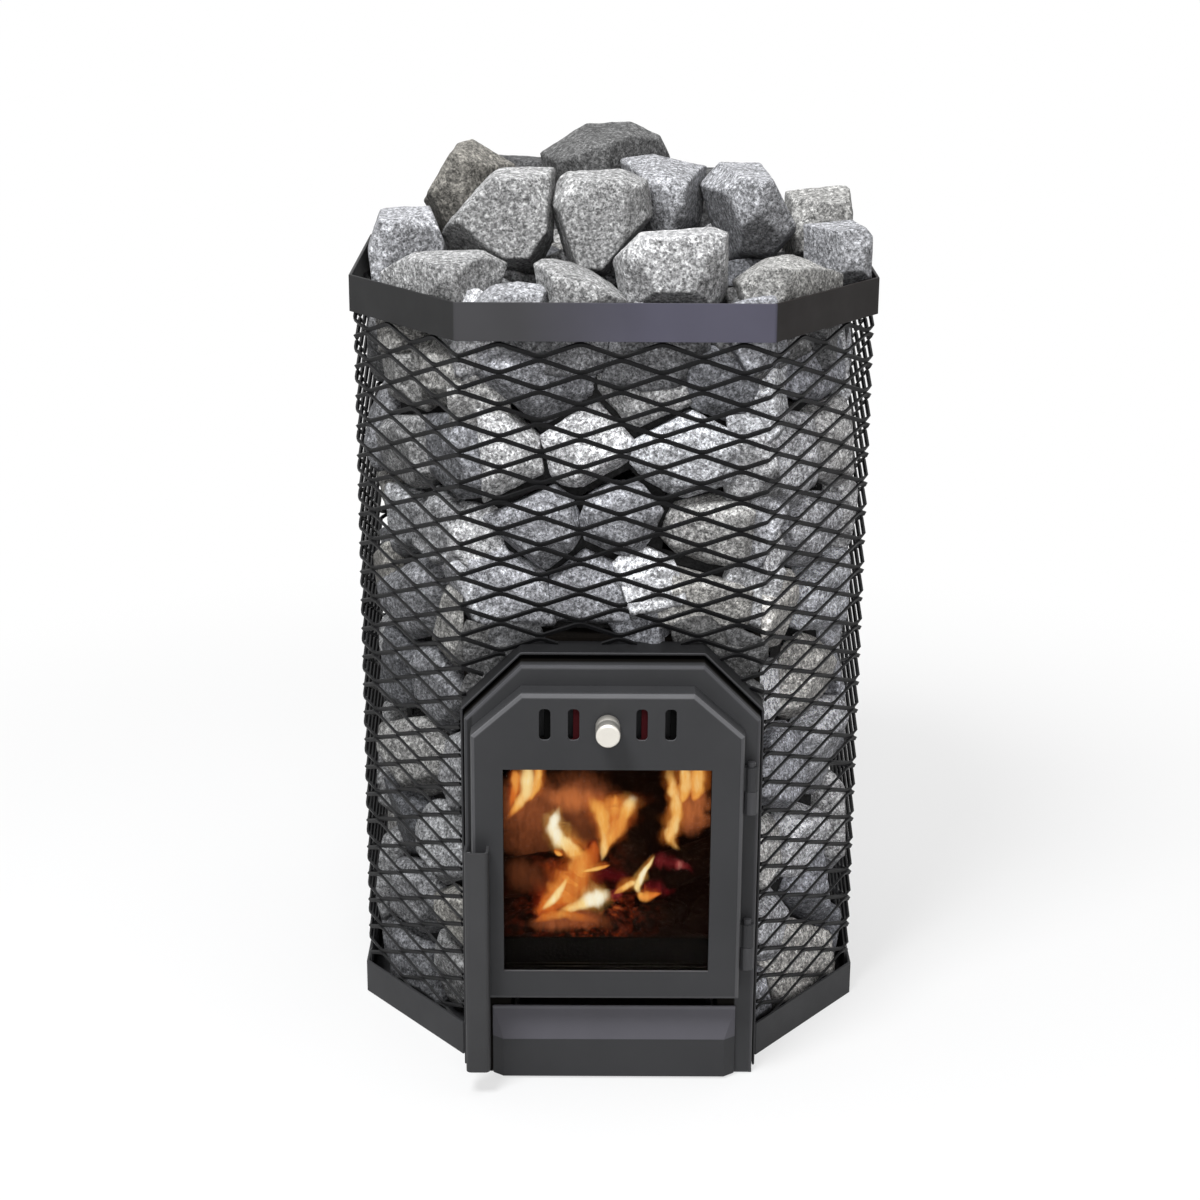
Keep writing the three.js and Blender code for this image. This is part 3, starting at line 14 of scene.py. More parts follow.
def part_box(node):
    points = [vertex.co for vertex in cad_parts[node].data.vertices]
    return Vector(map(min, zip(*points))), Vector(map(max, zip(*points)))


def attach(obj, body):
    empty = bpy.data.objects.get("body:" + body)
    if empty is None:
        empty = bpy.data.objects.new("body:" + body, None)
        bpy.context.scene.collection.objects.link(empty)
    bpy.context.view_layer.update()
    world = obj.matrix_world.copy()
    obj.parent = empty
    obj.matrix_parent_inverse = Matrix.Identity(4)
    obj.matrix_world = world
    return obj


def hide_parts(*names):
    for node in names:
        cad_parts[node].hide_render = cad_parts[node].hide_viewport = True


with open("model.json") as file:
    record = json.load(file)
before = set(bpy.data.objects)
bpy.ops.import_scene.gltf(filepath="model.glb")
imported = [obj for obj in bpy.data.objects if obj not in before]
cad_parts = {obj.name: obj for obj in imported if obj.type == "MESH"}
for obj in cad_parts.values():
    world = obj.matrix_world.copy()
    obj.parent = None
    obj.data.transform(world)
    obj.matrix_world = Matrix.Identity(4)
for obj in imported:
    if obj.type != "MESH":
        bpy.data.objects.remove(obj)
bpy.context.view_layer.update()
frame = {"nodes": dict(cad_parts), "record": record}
NODES = frame["nodes"]
BODY = "stove"
TOUCH, WELD = 1e-4, 1e-5
SOCKET = bpy.types.NodeSocket

# Camera, solved from the octagon's corners in the photograph
CAMERA_PLACE = Vector((-0.0229, -2.4425, 1.2002))
CAMERA_TILT_DOWN = math.radians(18.03)
CAMERA_ROLL = math.radians(0.357)
CAMERA_YAW = math.radians(-0.271)
CAMERA_LENS_MM, CAMERA_SENSOR_MM = 71.69, 36.0

# Light: place, size, power and colour of each lamp
WORLD_LIGHT = 0.22
LAMPS = {
    "key": ((-0.9, -1.6, 3.1), 1.1, 120.0, (0.98, 0.99, 1.0)),
    "front": ((0.2, -3.2, 1.4), 1.4, 36.0, (1.0, 1.0, 1.0)),
    "fill": ((2.4, -1.8, 1.3), 2.0, 4.0, (1.0, 0.92, 0.84)),
    "top": ((0.1, 0.2, 2.8), 2.0, 35.0, (1.0, 1.0, 1.0)),
}
LIGHT_AIM = Vector((0.0, -0.05, 0.45))
WHITE = (1.0, 1.0, 1.0, 1.0)
FLOOR_HALF, FLOOR_ALBEDO, FLOOR_SHADOW_SHARE = 30.0, 0.7, 0.34
FLOOR_FADE_START, FLOOR_FADE_END = 0.55, 1.5

# Expanded-metal cage
MESH_INSET = 0.0048
MESH_LONG_WAY, MESH_SHORT_WAY = 0.075, 0.0305
STRAND_WIDTH, STRAND_THICKNESS = 0.004, 0.0022
STRAND_LEAN = math.radians(28)
BOND_SHARE = 0.07
RINGS_PER_DIAMOND = 18
MESH_BOTTOM, MESH_TOP = 0.008, 0.769
MESH_NODES = [name for name in NODES if name.startswith("mesh_")]

# Form of the stones: fineness, faces broken off, wear and roughness
STONE_CLEAR_OF_MESH = 0.0085
HEAP_DETAIL, WALL_DETAIL, LOOSE_DETAIL, COAL_DETAIL = 6, 5, 5, 3
HEAP_CHIPS, WALL_CHIPS, DEPTH_CHIPS, LOOSE_CUTS = 6, 9, 8, 9
HEAP_CHIP_REACH, WALL_CHIP_REACH, DEPTH_CHIP_REACH = (0.93, 0.99), (0.74, 0.95), (0.78, 0.92)
DEPTH_CHIP_SLANT, LEAST_REACH = (0.5, 0.8), 0.004
LOOSE_TURNS = (("Z", 0.5), ("X", 0.45), ("Y", 0.45))
LOOSE_FACE_REACH, LOOSE_CUT_REACH = (0.86, 1.0), (0.86, 1.08)
EDGE_SHARPNESS = 120
ROUGHNESS, PIT_SHARE, SWELL_MIDDLE = 0.001, 0.3, 0.35
SWELL_SCALE, SWELL_NOISE, PIT_SCALE = 38.0, (0.9, 2.1, 3), 170.0
NOISE_STEP = (1.37, 2.11, 0.73)
SEED_RANGE = 1000

# Places of the stones. A mass of stones in the frame is split into stones where its edges are hollow.
HOLLOW_EDGE, OPEN_BACK, LEVEL = -0.03, 0.05, 0.9
LARGEST_STONE, STONE_ROOT = 0.24, 0.006
STONE_SHARES, STONE_TURN = (1.0, 1.22), math.radians(17)
STONE_SPREAD, STONE_FLATNESS, STONE_SINK = 1.05, 0.9, 0.016
SETTLE_SEED = 500
PUSHES = 3
BED_PITCH, BED_STONE, BED_UNDER_RIM = 0.085, 0.1, 0.002
BED_SHARES, BED_FLATNESS, BED_SHIFT, BED_LIFT = (0.8, 1.15), 0.75, 0.15, (-0.012, 0.006)
SEAM_PITCH, SEAM_STONE, SEAM_SHIFT = 0.06, (0.062, 0.05, 0.08), 0.012
GAP_STONES = [(0.034, -0.228, 0.498), (0.03, -0.222, 0.468)]
HOOD_STONE, HOOD_FLATTENING, HOOD_SHIFT = (0.056, 0.015, 0.05), (1.0, 0.5, 1.0), 0.006
HOOD_STONES = [(0.128, 0.384), (0.112, 0.418), (0.138, 0.43), (0.088, 0.446)]
SEEDS = {"bed": 77, "front": 31, "rear": 45, "gaps": 9, "hood": 58, "coals": 12}

# Granite: tint and lightness, and for the heap the stones that have it
HEAP_GRANITES = {
    "grey": ((1.0, 1.0, 1.0), 0.98, ("left_middle", "centre", "front_left", "front_wedge")),
    "warm": ((1.01, 1.0, 0.97), 0.95, ("front_right", "right_back")),
    "cool": ((0.98, 0.99, 1.04), 1.0, ("far_left", "centre_right", "front_small", "right_slab", "far_right")),
    "pale": ((1.0, 1.0, 1.01), 1.36, ("front_slab",)),
    "dim": ((1.0, 1.0, 1.0), 0.33, ("dome",)),
    "brown": ((1.05, 1.0, 0.9), 0.6, ("left_back",)),
    # Painted shade: the rear stones are darkened as if in shadow
    "dark": ((1.0, 1.0, 1.02), 0.22, ("rear_left", "rear_right", "left_rear")),
}
# Wall granites are lit and shaded copies of one granite: painted light on the front, rear and right walls,
# painted shade on the left wall and on the bed stones under the heap
WALL_GRANITES = {
    "wall_granite_painted_light": ((1.0, 1.0, 1.01), 1.5),
    "wall_granite_left_painted_shade": ((1.0, 1.0, 1.0), 0.85),
    "wall_granite_right_painted_light": ((0.99, 0.99, 1.02), 2.1),
    "bed_granite_painted_shade": ((1.0, 1.0, 1.01), 0.7),
}
# Painted shade: near-black granite on the core between the wall stones, and darker granite for the stones in
# shade beside the hood
GAP_SHADE_GRANITE, SHADED_GRANITE = ((1.0, 1.0, 1.02), 0.03), ((1.0, 1.0, 1.01), 0.35)

# Ramps of granite: a cast that differs from stone to stone, and painted light and shade by the way a face
# turns, darker downwards and lighter upwards
HEAP_CASTS = [
    (0.0, (0.84, 0.85, 0.88)), (0.35, (1.0, 1.0, 1.0)), (0.7, (1.01, 1.0, 0.97)), (1.0, (1.14, 1.14, 1.15)),
]
WALL_CASTS = [
    (0.0, (0.34, 0.35, 0.38)), (0.22, (0.86, 0.87, 0.92)), (0.5, (1.06, 1.06, 1.06)),
    (0.72, (1.06, 1.03, 0.96)), (0.86, (1.1, 1.12, 1.17)), (1.0, (1.55, 1.55, 1.57)),
]
WALL_PAINTED_SHADING = [(0.1, 0.4), (0.45, 0.95), (0.62, 1.1), (0.9, 1.32)]
HEAP_PAINTED_SHADING = [(0.1, 0.45), (0.36, 1.0), (0.6, 1.04), (0.9, 1.06)]
PAINTED_SHADING_TILT = 0.8
CRYSTAL_SHADES = [(0.0, 0.2), (0.2, 0.5), (0.45, 1.0), (0.9, 1.4)]
MOTTLE_SHADES = [(0.3, 0.05), (0.45, 0.17), (0.55, 0.34), (0.68, 0.68)]
CLOUD_SHADES = [(0.3, 0.76), (0.7, 1.2)]
CRYSTAL_SCALE, CRYSTAL_SHARE, WARP_SCALE, WARP_REACH = 620.0, 0.8, 420.0, 0.003


def dimmed(colour, share):
    return tuple(share * c for c in colour)


# Colours of the metal, as light values
PAINT = (0.029, 0.0292, 0.031)
MESH_PAINT = (0.0045, 0.0045, 0.005)
SHADED_PAINT = (0.014, 0.0142, 0.015)
HOOD_PAINT = dimmed(PAINT, 0.36)
HANDLE_PAINT = (0.036, 0.036, 0.0375)
# Painted highlights on the bent edges of the door, the frame and the hood
DOOR_EDGE_HIGHLIGHT, FRAME_EDGE_HIGHLIGHT, HOOD_EDGE_HIGHLIGHT = (0.095, 0.095, 0.1), (0.055, 0.055, 0.06), (0.046, 0.046, 0.049)
# Painted light and a bluish painted reflection on the drawer's bevel, and a painted highlight on its top edge
BEVEL_PAINTED_LIGHT, BEVEL_EDGE_HIGHLIGHT = (0.069, 0.067, 0.078), (0.094, 0.092, 0.104)
# Painted light and shade on the rim: sides darker and browner towards the right, front paler and bluer
# towards the right
RIM_SIDES_PAINTED_SHADE = [(0.2, (0.0125, 0.0125, 0.0128)), (0.8, (0.0075, 0.0055, 0.005))]
RIM_FRONT_PAINTED_LIGHT = [(0.25, (0.034, 0.0335, 0.036)), (0.6, (0.055, 0.053, 0.074))]
# Soot on the iron inside; on the door frame the same near-black is also painted shade
SOOT_AND_SHADE, BURNT_IRON = (0.004, 0.0035, 0.003), (0.0065, 0.005, 0.004)
BARE_STEEL, HINGE_STEEL = (0.13, 0.13, 0.135), (0.045, 0.045, 0.048)
HEAT_TINT = [(0.62, (0.026, 0.003, 0.004)), (0.7, (0.001, 0.001, 0.001))]
KNOB_METAL, ROPE = (0.72, 0.69, 0.63), (0.15, 0.145, 0.135)
GLASS_TINT = (0.97, 0.95, 0.92, 1.0)
PAINT_ROUGHNESS, MESH_ROUGHNESS, HANDLE_ROUGHNESS, HINGE_ROUGHNESS = 0.52, 0.5, 0.5, 0.45
PAINT_GLOSS, SOOT_AND_SHADE_GLOSS, ROUGHNESS_SWING = 0.17, 0.02, 0.08

# Sizes on the metal: edges, painted highlights behind a node's front, soot and painted shade, and the turned
# knob
SHEET_EDGE, FOLDED_EDGE = (0.0007, 2), (0.0013, 3)
EDGE_ANGLE = math.radians(40)
FOLDED = {"portal_hood", "door_frame", "door_panel", "drawer_front", "top_rim", "bottom_ring", "door_handle"}
DOOR_HIGHLIGHT_BAND, FRAME_HIGHLIGHT_BAND, HOOD_HIGHLIGHT_BAND = (0.0006, 0.0032), (0.0006, 0.0026), (-0.001, 0.0004)
HIGHLIGHT_FADE_IN, HIGHLIGHT_FADE_OUT = 0.0004, 0.0006
HIGHLIGHT_TILT, HIGHLIGHT_BELOW = (-0.2, 0.45), 0.3
FRAME_SHEET, SOOT_AND_SHADE_FADE, SEAL_FADE, SIDE_FADE = 0.006, 0.008, 0.001, 0.002
GAP_PAINTED_SHADE = (0.012, 0.004)
BEVEL_HEIGHT, BEVEL_FADE, BEVEL_EDGE = 0.044, 0.0006, (0.004, 0.002)
RIM_FACE = (0.002, 0.0005)
KNOB_SIDES, KNOB_ROUND, KNOB_GROOVE, KNOB_ARC_STEPS = 64, 0.0024, 0.0012, 8
KNOB_MIDDLE, KNOB_BODY, KNOB_ROUND_START = 0.1, 0.8, 1.5


# Objects and node trees

def new_object(name, vertices, faces, material, smooth=True):
    mesh = bpy.data.meshes.new(name)
    mesh.from_pydata([tuple(v) for v in vertices], [], faces)
    mesh.validate()
    if smooth:
        mesh.polygons.foreach_set("use_smooth", [True] * len(mesh.polygons))
    made = bpy.data.objects.new(name, mesh)
    made.data.materials.append(material)
    bpy.context.scene.collection.objects.link(made)
    return made


def tube_faces(rings, sides, turned=False):
    """Faces of a closed tube whose vertices lie ring after ring, turned over if it runs the other way."""
    faces = [
        (i * sides + k, i * sides + (k + 1) % sides, (i + 1) * sides + (k + 1) % sides, (i + 1) * sides + k)
        for i in range(rings - 1) for k in range(sides)
    ]
    ends = [tuple(range(sides - 1, -1, -1)), tuple(range((rings - 1) * sides, rings * sides))]
    if turned:
        faces = [(a, d, c, b) for a, b, c, d in faces]
        ends = [end[::-1] for end in ends]
    return faces + ends


class Look:
    """Node tree of a material or a world, with short ways to add nodes to it."""

    def __init__(self, owner, empty=False):
        owner.use_nodes = True
        self.owner, self.tree = owner, owner.node_tree
        if empty:
            self.tree.nodes.clear()

    def set_inputs(self, node, values):
        """Sets a node's inputs. A socket is linked, and anything else becomes the input's value."""
        for key, value in values.items():
            if isinstance(value, SOCKET):
                self.tree.links.new(value, node.inputs[key])
            else:
                node.inputs[key].default_value = value

    def add(self, kind, values=None, **settings):
        made = self.tree.nodes.new(kind)
        for key, value in settings.items():
            setattr(made, key, value)
        self.set_inputs(made, values or {})
        return made

    def place(self):
        return self.add("ShaderNodeTexCoord").outputs["Object"]

    def geometry(self, output):
        return self.add("ShaderNodeNewGeometry").outputs[output]

    def calculate(self, operation, *values, clamp=False):
        values = dict(enumerate(values))
        return self.add("ShaderNodeMath", values, operation=operation, use_clamp=clamp).outputs[0]

    def noise(self, scale, detail=4.0, roughness=0.55, place=None):
        values = {"Vector": place or self.place(), "Scale": scale, "Detail": detail, "Roughness": roughness}
        return self.add("ShaderNodeTexNoise", values).outputs["Fac"]

    def ramp(self, source, stops):
        """Colour ramp. Each stop is a place with a colour or with one value of grey."""
        ramp = self.add("ShaderNodeValToRGB", {"Fac": source})
        elements = ramp.color_ramp.elements
        while len(elements) < len(stops):
            elements.new(0.5)
        for element, (place, colour) in zip(elements, stops):
            element.position = place
            element.color = (*colour, 1.0) if isinstance(colour, tuple) else (colour, colour, colour, 1.0)
        return ramp.outputs["Color"]

    def mix(self, factor, first, second, mode="MIX"):
        """Mix of two colours, each of them a socket or a plain colour."""
        first, second = (value if isinstance(value, SOCKET) else (*value, 1.0) for value in (first, second))
        values = {0: factor, 6: first, 7: second}
        return self.add("ShaderNodeMix", values, data_type="RGBA", blend_type=mode).outputs[2]

    def multiply(self, first, second, factor=1.0):
        return self.mix(factor, first, second, "MULTIPLY")

    def mix_shaders(self, factor, first, second):
        return self.add("ShaderNodeMixShader", {"Fac": factor, 1: first, 2: second}).outputs[0]

    def ease(self, source, start, end, first=0.0, last=1.0):
        """Value that goes smoothly from `first` to `last` while its source goes from `start` to `end`."""
        values = {"Value": source, "From Min": start, "From Max": end, "To Min": first, "To Max": last}
        return self.add("ShaderNodeMapRange", values, interpolation_type="SMOOTHSTEP").outputs[0]

    def along(self, axis, vector=None):
        return self.add("ShaderNodeSeparateXYZ", {"Vector": vector or self.place()}).outputs[axis]

    def blend(self, axis, start, end):
        """Value that goes from 0 to 1 between two places on an axis."""
        return self.ease(self.along(axis), start, end)

    def upward(self, start, end):
        """Value that goes from 0 to 1 as a face turns from `start` to `end`, by its normal's height."""
        return self.ease(self.along("Z", self.geometry("Normal")), start, end)

    def finish(self, values, relief=None, strength=0.0, distance=0.0):
        """Sets the inputs of the material's shader, with a bump if it has relief."""
        if relief:
            bump = self.add("ShaderNodeBump", {"Height": relief, "Strength": strength, "Distance": distance})
            values = {**values, "Normal": bump.outputs["Normal"]}
        self.set_inputs(self.tree.nodes["Principled BSDF"], values)
        return self.owner


def new_look(name, empty=False):
    return Look(bpy.data.materials.new(name), empty)


# Materials

def painted_steel(name, colour, roughness=PAINT_ROUGHNESS, soot=None):
    """Matt heat-proof paint. Its colour may be a function of the look, and so may the soot and painted shade
    on it.
    """
    look = new_look(name)
    paint, gloss = colour(look) if callable(colour) else colour, PAINT_GLOSS
    if soot:
        # Soot and painted shade darken the paint and dull its gloss
        sooted = soot(look)
        paint = look.mix(sooted, paint, SOOT_AND_SHADE)
        gloss = look.ramp(sooted, [(0.0, PAINT_GLOSS), (1.0, SOOT_AND_SHADE_GLOSS)])
    patches = look.ramp(look.noise(scale=7.0, detail=5.0), [(0.3, 0.86), (0.7, 1.14)])
    shine = look.ramp(look.noise(scale=26.0, detail=6.0), [
        (0.25, roughness - ROUGHNESS_SWING), (0.75, roughness + ROUGHNESS_SWING),
    ])
    values = {"Base Color": look.multiply(paint, patches), "Roughness": shine, "Specular IOR Level": gloss}
    return look.finish(values, look.noise(scale=1400.0, detail=2.0), strength=0.12, distance=0.0004)


def mottled(name, mottle, stops, values, grain, strength, distance):
    """Plain finish with a clouded colour. `mottle` and `grain` are noises, each a scale and a detail."""
    look = new_look(name)
    tone = look.ramp(look.noise(*mottle), stops)
    return look.finish({"Base Color": tone, **values}, look.noise(*grain), strength, distance)


def sooty_iron():
    return mottled(
        "sooty_iron", (22.0, 6.0), [(0.3, SOOT_AND_SHADE), (0.75, BURNT_IRON)],
        {"Roughness": 0.95, "Specular IOR Level": 0.06}, (300.0, 4.0), strength=0.5, distance=0.001,
    )


def bare_steel():
    return mottled(
        "bare_steel", (40.0, 6.0), [(0.3, dimmed(BARE_STEEL, 0.75)), (0.7, dimmed(BARE_STEEL, 1.2))],
        {"Metallic": 0.85, "Roughness": 0.42}, (900.0, 2.0), strength=0.15, distance=0.0003,
    )


def polished_metal():
    return mottled(
        "polished_metal", (60.0, 3.0), [(0.2, dimmed(KNOB_METAL, 0.94)), (0.8, KNOB_METAL)],
        {"Metallic": 0.75, "Roughness": 0.3}, (1500.0, 1.0), strength=0.04, distance=0.0002,
    )


def heat_tinted_steel(middle, reach):
    """Slider sheet that shows dark red near its middle, where the fire heats it."""
    look = new_look("heat_tinted_steel")
    away = look.calculate("ABSOLUTE", look.calculate("SUBTRACT", look.along("X"), middle))
    tone = look.ramp(look.calculate("DIVIDE", away, reach), HEAT_TINT)
    values = {"Base Color": tone, "Roughness": 0.7, "Specular IOR Level": 0.03}
    return look.finish(values, look.noise(scale=900.0, detail=2.0), strength=0.15, distance=0.0003)


def braided_rope():
    look = new_look("braided_rope")
    values = {"Vector": look.place(), "Scale": 110.0, "Distortion": 2.0, "Detail": 2.0}
    braid = look.add("ShaderNodeTexWave", values, bands_direction="DIAGONAL").outputs["Fac"]
    tone = look.ramp(braid, [(0.2, dimmed(ROPE, 0.55)), (0.8, ROPE)])
    return look.finish({"Base Color": tone, "Roughness": 0.95}, braid, strength=0.6, distance=0.001)


def stove_glass():
    look = new_look("stove_glass")
    haze = look.ramp(look.noise(scale=18.0, detail=5.0), [(0.35, 0.02), (0.8, 0.06)])
    clear = {"Base Color": GLASS_TINT, "Transmission Weight": 1.0, "IOR": 1.045}
    return look.finish({"Roughness": haze, **clear})


def granite(name, tint, lightness, casts=HEAP_CASTS, painted_shading=HEAP_PAINTED_SHADING):
    """Speckled granite, clouded by larger patches. Each stone has its own cast, and painted light and shade:
    faces that turn downwards darker, upwards lighter.
    """
    look = new_look(name)
    place = look.place()
    warp = look.add("ShaderNodeTexNoise", {"Vector": place, "Scale": WARP_SCALE, "Detail": 2.0})
    values = {0: warp.outputs["Color"], 1: (WARP_REACH,) * 3, 2: place}
    warped = look.add("ShaderNodeVectorMath", values, operation="MULTIPLY_ADD").outputs[0]
    cells = look.add("ShaderNodeTexVoronoi", {"Vector": warped, "Scale": CRYSTAL_SCALE})
    crystals = look.add("ShaderNodeSeparateColor", {0: cells.outputs["Color"]}).outputs[0]
    mottle = look.noise(scale=220.0, detail=7.0, roughness=0.76)
    greys = [(at, dimmed(tint, lightness * shade)) for at, shade in MOTTLE_SHADES]
    stone = look.multiply(look.ramp(mottle, greys), look.ramp(crystals, CRYSTAL_SHADES), CRYSTAL_SHARE)
    # The last ramp is painted light and shade: faces that turn downwards darker, faces that turn upwards
    # lighter
    for source, stops in (
        (look.noise(scale=16.0, detail=5.0), CLOUD_SHADES),
        (look.geometry("Random Per Island"), casts),
        (look.upward(-PAINTED_SHADING_TILT, PAINTED_SHADING_TILT), painted_shading),
    ):
        stone = look.multiply(stone, look.ramp(source, stops))
    grain = look.noise(scale=260.0, detail=5.0, roughness=0.7)
    values = {"Base Color": stone, "Roughness": 0.82, "Specular IOR Level": 0.35}
    return look.finish(values, grain, strength=0.75, distance=0.0022)


# Casing outline

def casing_walls(corners):
    """Outward normal and distance from the axis of each wall of an octagon."""
    walls = []
    for start, end in zip(corners, corners[1:] + corners[:1]):
        along = (Vector(end) - Vector(start)).normalized()
        normal = Vector((along.y, -along.x))
        walls.append((normal, normal.dot(Vector(start))))
    return walls


def casing_corners(inset):
    """Corners of the octagonal casing, anticlockwise from the left end of the front, moved inwards."""
    low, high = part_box("top_rim")
    points = [v.co for v in NODES["top_rim"].data.vertices]
    face = max(p.x for p in points if p.y < low.y + TOUCH)
    side = max(p.y for p in points if p.x > high.x - TOUCH)
    walls = casing_walls([
        (-face, low.y), (face, low.y), (high.x, -side), (high.x, side),
        (face, high.y), (-face, high.y), (low.x, side), (low.x, -side),
    ])
    corners = []
    for (n0, d0), (n1, d1) in zip(walls[-1:] + walls[:-1], walls):
        cross = n0.x * n1.y - n0.y * n1.x
        r0, r1 = d0 - inset, d1 - inset
        corners.append(Vector(((r0 * n1.y - r1 * n0.y) / cross, (n0.x * r1 - n1.x * r0) / cross)))
    return corners


CASING_WALLS = casing_walls(casing_corners(0.0))
CASING_REACH = CASING_WALLS[0][1]


# Expanded-metal cage

def hood_half_width(height):
    """Half the width of the portal hood's outline at a height, or 0 above it."""
    _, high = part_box("portal_hood")
    points = [v.co for v in NODES["portal_hood"].data.vertices]
    shoulder = max(p.z for p in points if p.x > high.x - TOUCH)
    crown = max(p.x for p in points if p.z > high.z - TOUCH)
    if height > high.z:
        return 0.0
    if height < shoulder:
        return high.x
    return crown + (high.x - crown) * (high.z - height) / (high.z - shoulder)


def strand_height(row, turn):
    """Height of one zigzag strand where it has gone `turn` diamonds along the cage."""
    swing = abs(2.0 * ((turn + 0.5 * (row % 2)) % 1.0) - 1.0)
    flat = min(1.0, max(0.0, (swing - BOND_SHARE) / (1.0 - 2.0 * BOND_SHARE)))
    half = MESH_SHORT_WAY / 2.0
    return MESH_BOTTOM + row * half + STRAND_WIDTH / 2.0 + flat * (half - STRAND_WIDTH)


def strand_ring(point, tangent, outward):
    """Four corners of a strand's section, leaning outwards as on expanded metal."""
    across = outward.cross(tangent).normalized()
    wide = (across * math.cos(STRAND_LEAN) + outward * math.sin(STRAND_LEAN)) * STRAND_WIDTH / 2.0
    thick = (outward * math.cos(STRAND_LEAN) - across * math.sin(STRAND_LEAN)) * STRAND_THICKNESS / 2.0
    return [point - wide - thick, point + wide - thick, point + wide + thick, point - wide + thick]


def cage_stations():
    """Places round the cage: plan point, outward normal and how many diamonds along."""
    corners = casing_corners(MESH_INSET)
    lengths = [(b - a).length for a, b in zip(corners, corners[1:] + corners[:1])]
    per_metre = round(sum(lengths) / MESH_LONG_WAY) / sum(lengths)
    stations = []
    gone = 0.0
    for i, length in enumerate(lengths):
        start, end = corners[i], corners[(i + 1) % len(corners)]
        along = (end - start) / length
        steps = max(1, round(length * per_metre * RINGS_PER_DIAMOND))
        for step in range(steps):
            at = length * step / steps
            stations.append((start + along * at, Vector((along.y, -along.x)), (gone + at) * per_metre))
        gone += length
    return stations


def strand_points(row, stations):
    """Place and outward normal of a strand at each station, or None behind the hood or the flue plate."""
    plate_low, plate_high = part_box("flue_plate")
    front = min(p.y for p, _, _ in stations)
    rear = max(p.y for p, _, _ in stations)
    rings = []
    for plan, outward, turn in stations:
        height = strand_height(row, turn)
        behind_hood = plan.y < front + TOUCH and abs(plan.x) < hood_half_width(height)
        in_plate = (plan.y > rear - TOUCH and plate_low.z < height < plate_high.z
                    and plate_low.x < plan.x < plate_high.x)
        hidden = behind_hood or in_plate
        rings.append(None if hidden else (Vector((plan.x, plan.y, height)), outward.to_3d()))
    return rings


def strand_runs(rings):
    """Unbroken stretches of a strand, as lists of its stations."""
    first = rings.index(None) if None in rings else 0
    runs = [[]]
    for k in range(len(rings)):
        at = (first + k) % len(rings)
        if rings[at] is None:
            runs.append([])
        else:
            runs[-1].append(at)
    return [run for run in runs if len(run) > 1]


def build_cage(material):
    stations = cage_stations()
    rows = int((MESH_TOP - MESH_BOTTOM) / (MESH_SHORT_WAY / 2.0))
    vertices, faces = [], []
    for row in range(rows):
        rings = strand_points(row, stations)
        closed = None not in rings
        for run in strand_runs(rings):
            base = len(vertices)
            for k in run:
                point, outward = rings[k]
                ahead, behind = rings[(k + 1) % len(rings)], rings[k - 1]
                tangent = (ahead or rings[k])[0] - (behind or rings[k])[0]
                vertices.extend(strand_ring(point, tangent.normalized(), outward))
            for k in range(len(run) if closed else len(run) - 1):
                a, b = base + 4 * k, base + 4 * ((k + 1) % len(run))
                faces.extend((a + i, a + (i + 1) % 4, b + (i + 1) % 4, b + i) for i in range(4))
            if not closed:
                last = len(vertices) - 4
                faces.append((base + 3, base + 2, base + 1, base))
                faces.append((last, last + 1, last + 2, last + 3))
    cage = new_object("expanded_cage", vertices, faces, material, smooth=False)
    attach(cage, BODY)
    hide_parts(*MESH_NODES)


# Stones

SPHERES = {}


def sphere(detail):
    """Directions and triangles of a round ball, kept for reuse."""
    if detail not in SPHERES:
        ball = bmesh.new()
        bmesh.ops.create_icosphere(ball, subdivisions=detail, radius=1.0)
        ball.verts.ensure_lookup_table()
        directions = np.array([v.co for v in ball.verts])
        triangles = np.array([[v.index for v in f.verts] for f in ball.faces])
        ball.free()
        SPHERES[detail] = (directions, triangles)
    return SPHERES[detail]


def broken_stone(normals, distances, detail, seed):
    """Points of a convex stone with slightly rounded edges and rough faces, about its middle."""
    directions, _ = sphere(detail)
    reach = np.clip(directions @ normals.T / distances, 0.0, None) ** EDGE_SHARPNESS
    radius = reach.sum(axis=1) ** (-1.0 / EDGE_SHARPNESS)
    points = directions * radius[:, None]
    offset = Vector([seed * step for step in NOISE_STEP])
    for i, point in enumerate(points):
        place = Vector(point)
        swell = noise.fractal((place + offset) * SWELL_SCALE, *SWELL_NOISE)
        pits = noise.noise((place - offset) * PIT_SCALE)
        relief = ROUGHNESS * (swell - SWELL_MIDDLE) + PIT_SHARE * ROUGHNESS * pits
        points[i] = point * (1.0 + relief / radius[i])
    return points


def draw_for(group):
    """Random draws of one group of loose stones."""
    return random.Random(SEEDS[group])


def random_direction(draw):
    height = draw.uniform(-1.0, 1.0)
    angle = draw.uniform(0.0, 2.0 * math.pi)
    flat = math.sqrt(1.0 - height * height)
    return np.array((flat * math.cos(angle), flat * math.sin(angle), height))


def depth_direction(draw):
    """Direction mostly to the front or the back: a chip there leaves the outline seen from the front."""
    turn = draw.uniform(0.0, 2.0 * math.pi)
    slant = draw.uniform(*DEPTH_CHIP_SLANT)
    depth = draw.choice((-1.0, 1.0)) * math.sqrt(1.0 - slant ** 2)
    return np.array((slant * math.cos(turn), depth, slant * math.sin(turn)))


